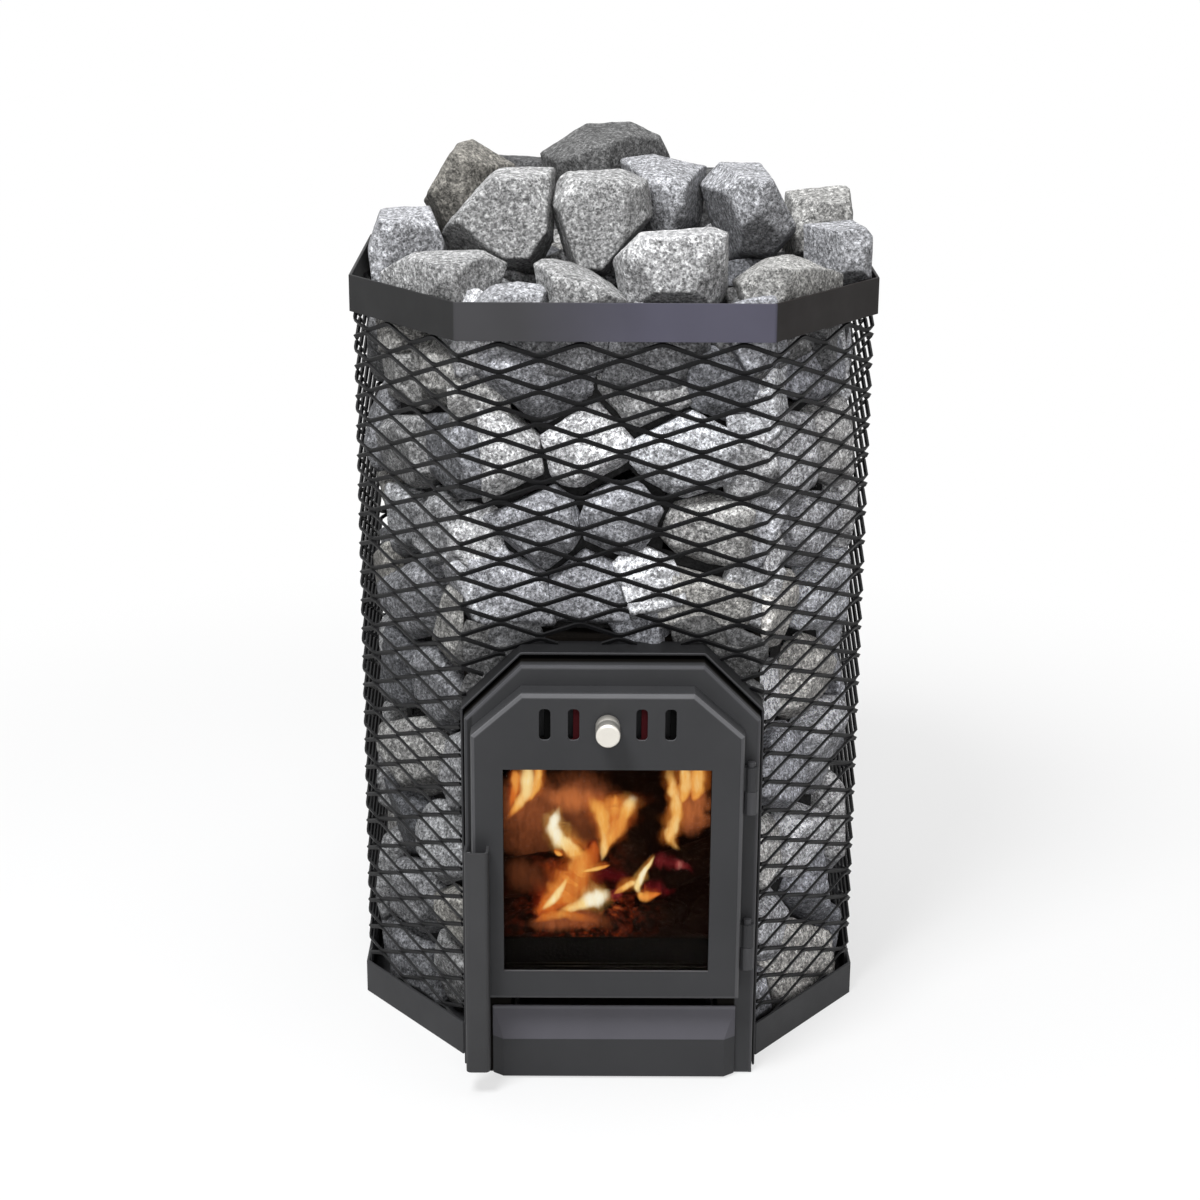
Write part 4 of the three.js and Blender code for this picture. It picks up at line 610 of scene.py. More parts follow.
def convex_patches(node):
    """Faces of CAD stones in groups that meet along outward edges: each stone, and the core between."""
    solid = bmesh.new()
    solid.from_mesh(NODES[node].data)
    bmesh.ops.remove_doubles(solid, verts=solid.verts, dist=WELD)
    solid.faces.ensure_lookup_table()
    low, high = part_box(node)
    is_mass = node.startswith("stones_")

    def in_side(face):
        return is_mass and any(
            all(abs(v.co[axis] - bound[axis]) < TOUCH for v in face.verts)
            for bound in (low, high) for axis in range(3)
        )

    patches = []
    waiting = [not in_side(face) for face in solid.faces]
    for first in solid.faces:
        if not waiting[first.index]:
            continue
        patch, border = [], [first]
        waiting[first.index] = False
        while border:
            face = border.pop()
            patch.append(face)
            for edge in face.edges:
                for other in edge.link_faces:
                    if waiting[other.index] and edge.calc_face_angle_signed(0.0) > HOLLOW_EDGE:
                        waiting[other.index] = False
                        border.append(other)
        patches.append([
            (np.array(face.normal), face.calc_area(), np.array([v.co for v in face.verts])) for face in patch
        ])
    solid.free()
    return patches


def stone_planes(patch):
    """Facets of a convex stone as normals and distances from its middle, with an open back closed."""
    corners = np.vstack([points for _, _, points in patch])
    middle = corners.mean(axis=0)
    planes = {
        tuple(np.round(normal, 2)): (normal, float(normal @ (points[0] - middle)))
        for normal, _, points in patch
    }
    outward = sum(area * normal for normal, area, _ in patch) / sum(area for _, area, _ in patch)
    openness = np.linalg.norm(outward)
    if openness > OPEN_BACK:
        back = -outward / openness
        planes["back"] = (back, float(((corners - middle) @ back).max()) + STONE_ROOT)
    normals, distances = zip(*planes.values())
    return middle, np.array(normals), np.array(distances), corners - middle


def worn_stone(patch, detail, seed, chips, chip_reaches, depth_chips=0):
    """Points of a CAD stone with small chips off its corners and broken, rough faces."""
    draw = random.Random(seed)
    middle, normals, distances, corners = stone_planes(patch)
    cuts = [(random_direction(draw), chip_reaches) for _ in range(chips)]
    cuts += [(depth_direction(draw), DEPTH_CHIP_REACH) for _ in range(depth_chips)]
    cut_reach = [float((corners @ c).max()) * draw.uniform(*reaches) for c, reaches in cuts]
    normals = np.vstack([normals, [c for c, _ in cuts]])
    distances = np.maximum(np.concatenate([distances, cut_reach]), LEAST_REACH)
    return middle + broken_stone(normals, distances, detail, seed)


def loose_stone(draw, size, detail=LOOSE_DETAIL):
    """Points of a random broken stone of about the given size, turned at random."""
    seed = draw.randrange(SEED_RANGE)
    turn = Matrix.Identity(3)
    for axis, most in LOOSE_TURNS:
        turn = turn @ Matrix.Rotation(draw.uniform(-most, most), 3, axis)
    half = np.array(size) / 2.0
    normals = [axis * sign for axis in np.eye(3) for sign in (1.0, -1.0)]
    distances = [half[i // 2] * draw.uniform(*LOOSE_FACE_REACH) for i in range(len(normals))]
    for _ in range(LOOSE_CUTS):
        direction = random_direction(draw)
        normals.append(direction)
        distances.append(float(np.linalg.norm(half * direction)) * draw.uniform(*LOOSE_CUT_REACH))
    points = broken_stone(np.array(normals), np.array(distances), detail, seed)
    return points @ np.array(turn).T


def push_inside(points):
    """Moves a stone inwards until it clears every wall of the cage."""
    for _ in range(PUSHES):
        for normal, distance in CASING_WALLS:
            over = float((points[:, :2] @ np.array(normal)).max()) - (distance - STONE_CLEAR_OF_MESH)
            if over > 0.0:
                points[:, 0] -= normal.x * over
                points[:, 1] -= normal.y * over
    return points


def bed_stones(draw):
    """Stones spread over the whole cage just under the heap."""
    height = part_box("top_rim")[0].z - BED_UNDER_RIM
    count = round(2.0 * CASING_REACH / BED_PITCH)
    pitch = 2.0 * CASING_REACH / count
    for row in range(count):
        for column in range(count):
            size = (*(BED_STONE * draw.uniform(*BED_SHARES) for _ in range(2)), BED_STONE * BED_FLATNESS)
            points = loose_stone(draw, size)
            x, y = (
                (n + 0.5 + draw.uniform(-BED_SHIFT, BED_SHIFT)) * pitch - CASING_REACH for n in (column, row)
            )
            if max(normal.dot(Vector((x, y))) - distance for normal, distance in CASING_WALLS) > 0.0:
                continue
            points += np.array((x, y, height + draw.uniform(*BED_LIFT)))
            yield push_inside(points)


def seam_stones(draw, node, side):
    """Stones that bridge the seams between a mass at the front (-1) or the rear (1) and the side masses."""
    low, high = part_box(node)
    plate_low, plate_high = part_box("flue_plate")
    steps = round((high.z - low.z) / SEAM_PITCH)
    for x in (low.x, high.x):
        for step in range(steps):
            height = low.z + (high.z - low.z) * (step + 0.5) / steps + draw.uniform(-SEAM_SHIFT, SEAM_SHIFT)
            points = loose_stone(draw, SEAM_STONE)
            points += np.array((x + draw.uniform(-SEAM_SHIFT, SEAM_SHIFT), side * CASING_REACH, height))
            points[:, 2] += max(0.0, low.z - points[:, 2].min())
            if side < 0 or not plate_low.z < height < plate_high.z:
                yield push_inside(points)


def gap_stones(draw):
    """Stones set back in the widest gap at the front."""
    for place in GAP_STONES:
        yield loose_stone(draw, SEAM_STONE) + np.array(place)


def hood_stones(draw):
    """Flat stones between the mesh and the firebox, in the corners beside the hood's shoulders."""
    for x, height in HOOD_STONES:
        for side in (-1.0, 1.0):
            points = loose_stone(draw, HOOD_STONE) * np.array(HOOD_FLATTENING)
            points += np.array((side * x + draw.uniform(-HOOD_SHIFT, HOOD_SHIFT), -CASING_REACH, height))
            yield push_inside(points)


def settle(points, node, seed):
    """Flattens, turns and sinks a stone at random, inside the box of its mass and clear of the cage."""
    draw = random.Random(seed + SETTLE_SEED)
    middle = points.mean(axis=0)
    turn = Matrix.Rotation(draw.uniform(-1.0, 1.0) * STONE_TURN, 3, Vector(random_direction(draw)))
    stretch = draw.uniform(*STONE_SHARES) * np.array((STONE_SPREAD, STONE_SPREAD, STONE_FLATNESS))
    turned = middle + stretch * ((points - middle) @ np.array(turn).T)
    sink = max(0.0, draw.uniform(-STONE_SINK, STONE_SINK))
    turned[:, :2] -= sink * middle[:2] / np.linalg.norm(middle[:2])
    return np.clip(push_inside(turned), *(np.array(side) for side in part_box(node)))


def join_stones(name, stones, detail, material):
    """One object of stones that have the same fineness."""
    _, triangles = sphere(detail)
    vertices, faces = [], []
    for points in stones:
        faces.extend((triangles + len(vertices)).tolist())
        vertices.extend(points.tolist())
    return new_object(name, vertices, faces, material)


def build_heap_stone(node, seed, material):
    points = worn_stone(convex_patches(node)[0], HEAP_DETAIL, seed, HEAP_CHIPS, HEAP_CHIP_REACH, DEPTH_CHIPS)
    stone = join_stones(node.replace("stone_", "rock_"), [points], HEAP_DETAIL, material)
    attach(stone, BODY)
    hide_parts(node)


def build_loose_stones(name, stones, material):
    made = join_stones(name, stones, LOOSE_DETAIL, material)
    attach(made, BODY)


def build_stone_mass(node, material, gaps, loose=()):
    """The stones of one CAD mass on their core, with loose stones added. The core between the stones is
    painted shade.
    """
    vertices, faces, rounded = [], [], []

    def add(points, polygons, is_stone):
        faces.extend([[index + len(vertices) for index in polygon] for polygon in polygons])
        rounded.extend([is_stone] * len(polygons))
        vertices.extend(points.tolist())

    for seed, patch in enumerate(convex_patches(node)):
        corners = np.vstack([points for _, _, points in patch])
        if np.linalg.norm(np.ptp(corners, axis=0)) < LARGEST_STONE:
            points = worn_stone(patch, WALL_DETAIL, seed, WALL_CHIPS, WALL_CHIP_REACH)
            add(settle(points, node, seed), sphere(WALL_DETAIL)[1].tolist(), True)
            continue
        for normal, _, points in patch:
            if normal[2] < LEVEL:
                add(points, [list(range(len(points)))], False)
    for points in loose:
        add(points, sphere(LOOSE_DETAIL)[1].tolist(), True)
    mass = new_object(node.replace("stones_", "rocks_"), vertices, faces, material)
    mass.data.polygons.foreach_set("use_smooth", rounded)
    # The core's faces take the near-black granite of painted shade
    mass.data.materials.append(gaps)
    mass.data.polygons.foreach_set("material_index", [0 if is_stone else 1 for is_stone in rounded])
    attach(mass, BODY)
    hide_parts(node)


def build_stones():
    granites = {}
    for kind, (tint, lightness, stones) in HEAP_GRANITES.items():
        material = granite("granite_" + kind, tint, lightness)
        granites.update({"stone_" + stone: material for stone in stones})
    for seed, node in enumerate(sorted(granites)):
        build_heap_stone(node, seed, granites[node])
    walls = {
        name: granite(name, *looks, WALL_CASTS, WALL_PAINTED_SHADING) for name, looks in WALL_GRANITES.items()
    }
    # Near-black granite for the cores between the wall stones: painted shade
    gaps = granite("granite_painted_gap_shade", *GAP_SHADE_GRANITE)
    front = [*seam_stones(draw_for("front"), "stones_above_firebox", -1.0), *gap_stones(draw_for("gaps"))]
    rear = seam_stones(draw_for("rear"), "stones_rear", 1.0)
    build_stone_mass("stones_above_firebox", walls["wall_granite_painted_light"], gaps, front)
    build_stone_mass("stones_left", walls["wall_granite_left_painted_shade"], gaps)
    build_stone_mass("stones_right", walls["wall_granite_right_painted_light"], gaps)
    build_stone_mass("stones_rear", walls["wall_granite_painted_light"], gaps, rear)
    build_loose_stones("rocks_of_bed", bed_stones(draw_for("bed")), walls["bed_granite_painted_shade"])
    shaded = granite("granite_in_shade", *SHADED_GRANITE)
    build_loose_stones("rocks_beside_hood", hood_stones(draw_for("hood")), shaded)


# Painted, bare and glazed CAD pieces

FINISHES = {
    "heat_paint": lambda: painted_steel("heat_paint", PAINT),
    "mesh_paint": lambda: painted_steel("mesh_paint", MESH_PAINT, MESH_ROUGHNESS),
    "cast_iron": sooty_iron,
    "bare_steel": bare_steel,
    "polished": polished_metal,
    "glass": stove_glass,
    "rope": braided_rope,
}


def set_material(name, material):
    NODES[name].data.materials.clear()
    NODES[name].data.materials.append(material)


def dress_cad_nodes():
    """Gives each CAD piece the finish of its slot and slightly rounded edges."""
    made = {slot: build() for slot, build in FINISHES.items()}
    slots = {part["node"]: part["material_slot"] for part in frame["record"]["subparts"]}
    for name, node in NODES.items():
        slot = slots[name]
        if slot not in made:
            continue
        set_material(name, made[slot])
        if slot != "glass":
            weld = node.modifiers.new("weld", "WELD")
            weld.merge_threshold = WELD
            edge = node.modifiers.new("edge", "BEVEL")
            edge.width, edge.segments = FOLDED_EDGE if name in FOLDED else SHEET_EDGE
            edge.limit_method = "ANGLE"
            edge.angle_limit = EDGE_ANGLE
    return made


def painted_edge_highlight(look, node, highlight_band, paint, highlight):
    """Painted highlight on a bent edge, strongest on faces that turn upwards. Its band gives where it starts
    and ends behind the node's front.
    """
    start, end = (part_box(node)[0].y + behind for behind in highlight_band)
    begins, stops = look.blend("Y", start - HIGHLIGHT_FADE_IN, start), look.blend("Y", end + HIGHLIGHT_FADE_OUT, end)
    upper = look.ramp(look.upward(*HIGHLIGHT_TILT), [(0.0, HIGHLIGHT_BELOW), (1.0, 1.0)])
    share = look.calculate("MULTIPLY", look.calculate("MULTIPLY", begins, stops), upper)
    return look.mix(share, paint, highlight)


def frame_soot_and_shade(look):
    """Soot and painted shade behind the frame's front sheet and inside the door's seal, and painted shade in
    the gap over the drawer.
    """
    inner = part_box("door_frame")[0].y + FRAME_SHEET
    door_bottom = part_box("door_panel")[0].z
    drawer_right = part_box("drawer_front")[1].x
    depth = look.blend("Y", inner, inner + SOOT_AND_SHADE_FADE)
    # Painted shade in the gap between the drawer and the door
    under = look.blend("Z", *(door_bottom + above for above in GAP_PAINTED_SHADE))
    gap = look.calculate("MULTIPLY", under, look.blend("X", drawer_right, drawer_right - SIDE_FADE))
    sealed = 1.0
    for bound, fade in zip(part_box("door_seal"), (SEAL_FADE, -SEAL_FADE)):
        for axis, edge in (("X", bound.x), ("Z", bound.z)):
            sealed = look.calculate("MULTIPLY", sealed, look.blend(axis, edge, edge + fade))
    return look.calculate("MAXIMUM", look.calculate("MAXIMUM", depth, gap), sealed)


def frame_colour(look):
    """Paint of the door frame: painted shade left of the door and a painted highlight on its bent edge."""
    door_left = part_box("door_panel")[0].x
    paint = look.mix(look.blend("X", door_left + SIDE_FADE, door_left), PAINT, SHADED_PAINT)
    return painted_edge_highlight(look, "door_frame", FRAME_HIGHLIGHT_BAND, paint, FRAME_EDGE_HIGHLIGHT)


# Door paint with a painted highlight on its upper edges
def door_colour(look):
    return painted_edge_highlight(look, "door_panel", DOOR_HIGHLIGHT_BAND, PAINT, DOOR_EDGE_HIGHLIGHT)


# Hood paint, darker than the rest of the paint, with a painted highlight on its front edge
def hood_colour(look):
    return painted_edge_highlight(look, "portal_hood", HOOD_HIGHLIGHT_BAND, HOOD_PAINT, HOOD_EDGE_HIGHLIGHT)


def drawer_colour(look):
    """Paint of the drawer front: painted light and a bluish painted reflection on its upper bevel, and a
    painted highlight along its top edge.
    """
    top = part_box("drawer_front")[1].z
    bevel = look.blend("Z", BEVEL_HEIGHT - BEVEL_FADE, BEVEL_HEIGHT + BEVEL_FADE)
    edge = look.blend("Z", *(top - below for below in BEVEL_EDGE))
    return look.mix(edge, look.mix(bevel, PAINT, BEVEL_PAINTED_LIGHT), BEVEL_EDGE_HIGHLIGHT)


def rim_colour(look):
    """Paint of the rim, with painted light and shade: the front paler and bluer towards the right, as painted
    light and reflection, and the sides darker and browner towards the right, as painted shade.
    """
    low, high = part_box("top_rim")
    across = look.blend("X", low.x, high.x)
    face = look.blend("Y", *(low.y + behind for behind in RIM_FACE))
    return look.mix(face, look.ramp(across, RIM_SIDES_PAINTED_SHADE), look.ramp(across, RIM_FRONT_PAINTED_LIGHT))


def repaint_nodes(sooted):
    """Painted highlights, painted light and shade, wear, heat tints and soot of single pieces."""
    knob_low, knob_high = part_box("air_knob")
    slider_low, slider_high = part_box("air_slider")
    slider_middle, slider_reach = (knob_low.x + knob_high.x) / 2.0, (slider_high.x - slider_low.x) / 2.0
    hinge = painted_steel("worn_steel", HINGE_STEEL, HINGE_ROUGHNESS)
    materials = {
        "door_frame": painted_steel("frame_paint", frame_colour, soot=frame_soot_and_shade),
        "top_rim": painted_steel("rim_paint", rim_colour),
        "door_panel": painted_steel("door_paint", door_colour),
        "portal_hood": painted_steel("hood_paint", hood_colour),
        "drawer_front": painted_steel("drawer_paint", drawer_colour),
        "door_handle": painted_steel("handle_paint", HANDLE_PAINT, HANDLE_ROUGHNESS),
        "air_slider": heat_tinted_steel(slider_middle, slider_reach),
        "hinge_pintle_upper": hinge, "hinge_pintle_lower": hinge,
        "glass_retainer": sooted, "glass_gasket": sooted, "door_seal": sooted, "slider_guide": sooted,
    }
    for name, material in materials.items():
        set_material(name, material)


def build_knob(material):
    """Turned knob: a rounded front face, a grooved body and the stem behind it."""
    low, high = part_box("air_knob")
    radius = (high.x - low.x) / 2.0
    middle = (low + high) / 2.0
    points = [v.co for v in NODES["air_knob"].data.vertices]
    back = max(p.y for p in points if abs(p.x - middle.x) > KNOB_BODY * radius)
    stem = max(p.x - middle.x for p in points if p.y > high.y - TOUCH)
    waist = (low.y + back) / 2.0
    arc = [math.pi / 2.0 * k / KNOB_ARC_STEPS for k in range(KNOB_ARC_STEPS + 1)]
    profile = [(low.y, KNOB_MIDDLE * radius), (low.y, radius - KNOB_ROUND_START * KNOB_ROUND)]
    profile += [
        (low.y + KNOB_ROUND * (1.0 - math.cos(a)), radius - KNOB_ROUND * (1.0 - math.sin(a))) for a in arc
    ]
    profile += [
        (waist - KNOB_GROOVE, radius), (waist, radius - KNOB_GROOVE), (waist + KNOB_GROOVE, radius),
        (back - KNOB_GROOVE, radius), (back, radius - KNOB_GROOVE), (back, stem), (high.y, stem),
    ]
    turns = [-2.0 * math.pi * k / KNOB_SIDES for k in range(KNOB_SIDES)]
    vertices = [
        (middle.x + out * math.cos(turn), along, middle.z + out * math.sin(turn))
        for along, out in profile for turn in turns
    ]
    knob = new_object("turned_knob", vertices, tube_faces(len(profile), KNOB_SIDES), material)
    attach(knob, "air_control")
    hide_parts("air_knob")


# Fire behind the glass

# Depth of each flame and the points down it: x, height, half width (mm) and heat (percent)
FLAMES = {
    "lick": (-186, [
        (-52, 245, 2, 85), (-56, 232, 4, 100), (-59, 220, 6, 100), (-52, 209, 6, 95), (-42, 199, 6, 85),
        (-35, 189, 7, 75), (-32, 176, 8, 62),
    ]),
    "trunk": (-190, [
        (-18, 202, 3, 40), (-24, 191, 7, 55), (-30, 179, 10, 60), (-36, 166, 12, 58), (-47, 153, 13, 58),
        (-59, 139, 11, 52), (-73, 127, 7, 42), (-82, 121, 4, 30),
    ]),
    "trunk_edge": (-198, [(-42, 172, 2, 70), (-51, 157, 3, 85), (-60, 143, 3, 85), (-71, 133, 2, 70)]),
    "red_tongue": (-182, [(-15, 206, 2, 30), (-18, 194, 5, 38), (-21, 184, 7, 42), (-24, 174, 7, 46)]),
    "pale_line": (-196, [(-32, 175, 1, 60), (-19, 178, 2, 75), (-10, 180, 2, 70), (1, 184, 1, 50)]),
    "left_arm": (-120, [
        (-24, 229, 7, 58), (-15, 217, 7, 65), (-8, 204, 6, 70), (-5, 188, 5, 75), (-5, 173, 4, 75),
        (-7, 161, 3, 80), (-9, 152, 1, 80),
    ]),
    "right_arm": (-125, [
        (25, 232, 6, 100), (20, 219, 6, 80), (14, 206, 6, 65), (7, 192, 6, 60), (1, 181, 5, 65),
        (-4, 168, 3, 70),
    ]),
    "middle_arm": (-118, [(5, 230, 3, 60), (5, 215, 4, 60), (5, 201, 4, 55), (2, 187, 3, 50)]),
    "upper_left": (-150, [
        (-84, 282, 6, 80), (-86, 257, 6, 86), (-88, 244, 5, 84), (-96, 230, 4, 72), (-108, 212, 3, 50),
    ]),
    "upper_left_edge": (-140, [(-73, 278, 4, 68), (-76, 252, 4, 70), (-81, 238, 3, 68), (-90, 229, 2, 55)]),
    "upper_right": (-140, [
        (60, 278, 5, 72), (64, 249, 5, 75), (68, 233, 5, 75), (69, 218, 5, 75), (66, 201, 5, 80),
        (63, 187, 5, 75), (75, 174, 2, 70),
    ]),
    "upper_right_middle": (-145, [(75, 282, 5, 75), (77, 253, 5, 78), (77, 240, 4, 70), (74, 230, 2, 60)]),
    "upper_right_edge": (-135, [(91, 278, 7, 70), (90, 250, 7, 74), (89, 237, 5, 65), (86, 228, 2, 50)]),
    "crack": (-196, [
        (46, 195, 1, 80), (38, 181, 2, 90), (31, 169, 3, 92), (28, 159, 3, 92), (30, 150, 2, 80),
    ]),
    "crack_end": (-198, [(28, 154, 2, 75), (34, 149, 4, 62), (44, 151, 3, 56), (54, 153, 1, 40)]),
    "crack_branch": (-198, [(28, 165, 2, 85), (20, 163, 3, 80), (12, 157, 3, 72), (3, 151, 1, 50)]),
    "v_fill": (-112, [
        (2, 226, 19, 56), (3, 210, 14, 60), (1, 193, 9, 60), (-2, 175, 5, 62), (-7, 153, 2, 70),
    ]),
    "lick_tail": (-188, [(-51, 209, 5, 85), (-41, 198, 5, 75), (-32, 187, 6, 66), (-30, 170, 7, 58)]),
    "upper_left_rim": (-145, [(-100, 268, 3, 55), (-98, 254, 4, 60), (-100, 240, 3, 50), (-104, 224, 2, 35)]),
    "low_tongue": (-206, [
        (-81, 123, 2, 36), (-65, 129, 4, 52), (-50, 132, 4, 58), (-30, 129, 4, 50), (-9, 124, 2, 36),
    ]),
    "spark": (-188, [(-58, 196, 1, 45), (-53, 192, 2, 70), (-48, 191, 1, 45)]),
    "trunk_body": (-184, [
        (-23, 188, 4, 36), (-29, 173, 8, 42), (-38, 157, 10, 42), (-53, 138, 10, 38), (-71, 121, 7, 30),
        (-83, 109, 4, 20),
    ]),
    "white_heat": (-204, [
        (0, 160, 4, 85), (-10, 152, 8, 100), (-19, 148, 7, 100), (-32, 141, 5, 85), (-44, 137, 4, 78),
        (-55, 135, 2, 60),
    ]),
}
GLOWS = {
    "seam": (-186, [
        (37, 170, 2, 40), (43, 180, 4, 50), (53, 184, 5, 58), (65, 181, 4, 60), (74, 179, 3, 85),
        (82, 175, 2, 45), (87, 167, 1, 30),
    ]),
    "seam_low": (-190, [
        (31, 161, 2, 45), (38, 156, 5, 55), (49, 154, 5, 52), (58, 151, 3, 45), (69, 153, 2, 30),
    ]),
    "red_shelf": (-192, [
        (-26, 165, 3, 40), (-12, 170, 5, 50), (0, 170, 5, 45), (14, 167, 4, 35), (28, 167, 2, 30),
    ]),
    "red_left": (-199, [(-1, 149, 2, 50), (6, 152, 4, 62), (15, 158, 2, 50)]),
}
HAZE = {
    "left_haze": (-80, [
        (-78, 246, 30, 50), (-84, 212, 42, 70), (-86, 182, 44, 62), (-86, 155, 40, 45), (-88, 128, 26, 25),
    ]),
    "centre_haze": (-70, [
        (-28, 242, 40, 60), (-31, 208, 44, 70), (-31, 178, 42, 52), (-27, 153, 34, 45), (-24, 124, 20, 30),
    ]),
    "upper_band": (-90, [
        (-86, 222, 8, 60), (-59, 214, 14, 90), (-40, 211, 16, 100), (-18, 211, 14, 90), (10, 213, 8, 70),
    ]),
    "right_haze": (-85, [(84, 228, 14, 70), (88, 206, 22, 90), (88, 186, 24, 85), (86, 164, 14, 50)]),
    "low_haze": (-208, [
        (-92, 122, 6, 35), (-66, 123, 11, 70), (-42, 126, 13, 75), (-18, 128, 13, 65), (10, 117, 10, 30),
    ]),
    "log_haze": (-180, [(-108, 184, 12, 20), (-90, 168, 20, 35), (-76, 160, 20, 30), (-56, 150, 12, 20)]),
}
FLAME_COLOURS = [
    (0.0, (0.1, 0.005, 0.002)), (0.25, (0.34, 0.04, 0.01)), (0.5, (0.66, 0.17, 0.025)),
    (0.7, (0.86, 0.42, 0.09)), (0.87, (0.95, 0.74, 0.34)), (1.0, (0.97, 0.95, 0.78)),
]
GLOW_COLOURS = [
    (0.0, (0.02, 0.001, 0.001)), (0.55, (0.13, 0.007, 0.01)),
    (0.8, (0.36, 0.05, 0.05)), (1.0, (0.7, 0.3, 0.24)),
]
HAZE_COLOURS = [
    (0.0, (0.008, 0.002, 0.001)), (0.5, (0.13, 0.036, 0.013)),
    (0.8, (0.3, 0.085, 0.03)), (1.0, (0.5, 0.15, 0.045)),
]
EMBER_COLOURS = [
    (0.0, (0.006, 0.002, 0.001)), (0.3, (0.1, 0.012, 0.004)),
    (0.65, (0.45, 0.07, 0.014)), (1.0, (0.9, 0.32, 0.08)),
]
FLAME_SPREAD, GLOW_SPREAD, HAZE_SPREAD = 1.75, 2.6, 1.25
AURA_SPREAD, AURA_COOLER, AURA_BEHIND = 3.4, 0.24, 5.0
STREAK_STRETCH, WISPS = (1.0, 1.0, 0.3), (1.6, -0.8)
MM, PERCENT = 0.001, 0.01
SPINE_STEPS = 6
LENS = tuple(-1.0 + k / 5.0 for k in range(11))
LENS_DEPTH, EDGE_COOLING, CORE_FALL, END_FADE = 0.25, 0.1, 1.4, 1.6
RAGGED, WAVE_SCALE, WAVE_APART = 0.4, 0.11, 7.0
TIP_WIDTH, TIP_ROUNDING = 0.5, 0.6

# Logs: both ends and the radius of each
LOGS = {
    "log_across": ((0.055, 0.03, 0.163), (0.012, -0.122, 0.158), 0.027),
    "log_left": ((-0.13, -0.142, 0.141), (-0.036, -0.128, 0.145), 0.023),
    "log_right": ((0.128, -0.105, 0.163), (0.044, -0.138, 0.146), 0.021),
    "log_back": ((-0.125, 0.065, 0.15), (0.118, 0.045, 0.155), 0.033),
}
LOG_RINGS, LOG_SIDES, LOG_SEED_STEP = 40, 36, 3.7
LOG_END, LOG_END_SLOPE = 0.55, 6.0
JAG_DEPTH, JAG_ROUND, JAG_SEED = 0.006, 2.0, 9.0
BARK_RELIEF, BARK_ROUND, BARK_LONG, BARK_NOISE = 0.09, 3.0, 4.0, (0.8, 2.2, 4)
SPLIT_DEPTH, SPLIT_TURN = 0.22, 0.6

# Embers and coals
HOT_SPOT, HOT_CORE = (-0.03, -0.17, 0.13), 0.015
CHAR_COLOURS = [(0.35, (0.003, 0.002, 0.0015)), (0.7, (0.018, 0.009, 0.005))]
ASH_COLOURS = [(0.35, (0.002, 0.0015, 0.0015)), (0.7, (0.009, 0.006, 0.0045))]
EMBER_LIFT, EMBER_LAYER = 0.0008, 0.003
EMBER_COLUMNS, EMBER_ROWS = 90, 110
EMBER_HEAP, EMBER_HEAP_HALVES, EMBER_HEAP_Y = 0.01, (0.09, 0.1), -0.07
LUMP_HEIGHT, LUMP_SCALE, LUMP_SEED, LUMP_NOISE = 0.008, 42.0, 3.0, (0.8, 2.1, 4)
COALS, COAL_HEIGHT, COAL_SIZES = 46, 0.111, (0.016, 0.04)
COAL_HALF_WIDTH, COAL_FRONT, COAL_DEPTH, COAL_CROWDING = 0.12, -0.19, 0.17, 1.4


def flame_material(name, colours, cover, firmness, streaking):
    """Glowing gas: colour by heat, and fading out towards the flame's edges."""
    look = new_look(name, empty=True)
    heat, core = (
        look.add("ShaderNodeAttribute", attribute_name=key).outputs["Fac"] for key in ("warmth", "core")
    )
    stretch = look.add("ShaderNodeMapping", {"Vector": look.place(), "Scale": STREAK_STRETCH})
    streaks = look.noise(scale=150.0, place=stretch.outputs["Vector"])
    wander = look.calculate("MULTIPLY_ADD", streaks, streaking, -streaking / 2.0)
    colour = look.ramp(look.calculate("ADD", heat, wander), colours)
    wisps = look.calculate("MULTIPLY_ADD", streaks, *WISPS)
    ragged = look.calculate("MULTIPLY_ADD", core, firmness, wisps, clamp=True)
    soft = look.calculate("MULTIPLY", ragged, core, clamp=True)
    veil = look.calculate("MULTIPLY", soft, cover, clamp=True)
    glow = look.add("ShaderNodeEmission", {"Color": colour, "Strength": 1.0}).outputs[0]
    clear = look.add("ShaderNodeBsdfTransparent").outputs[0]
    look.add("ShaderNodeOutputMaterial", {"Surface": look.mix_shaders(veil, clear, glow)})
    return look.owner


def smooth_spine(points):
    """Curve that runs smoothly through every point."""
    knots = np.array([points[0], *points, points[-1]], float)
    curve = []
    for a, b, c, d in zip(knots, knots[1:], knots[2:], knots[3:]):
        for t in np.arange(SPINE_STEPS) / SPINE_STEPS:
            curve.append(0.5 * (2 * b + (c - a) * t + (2 * a - 5 * b + 4 * c - d) * t ** 2
                                + (3 * b - a - 3 * c + d) * t ** 3))
    return np.array([*curve, knots[-1]])


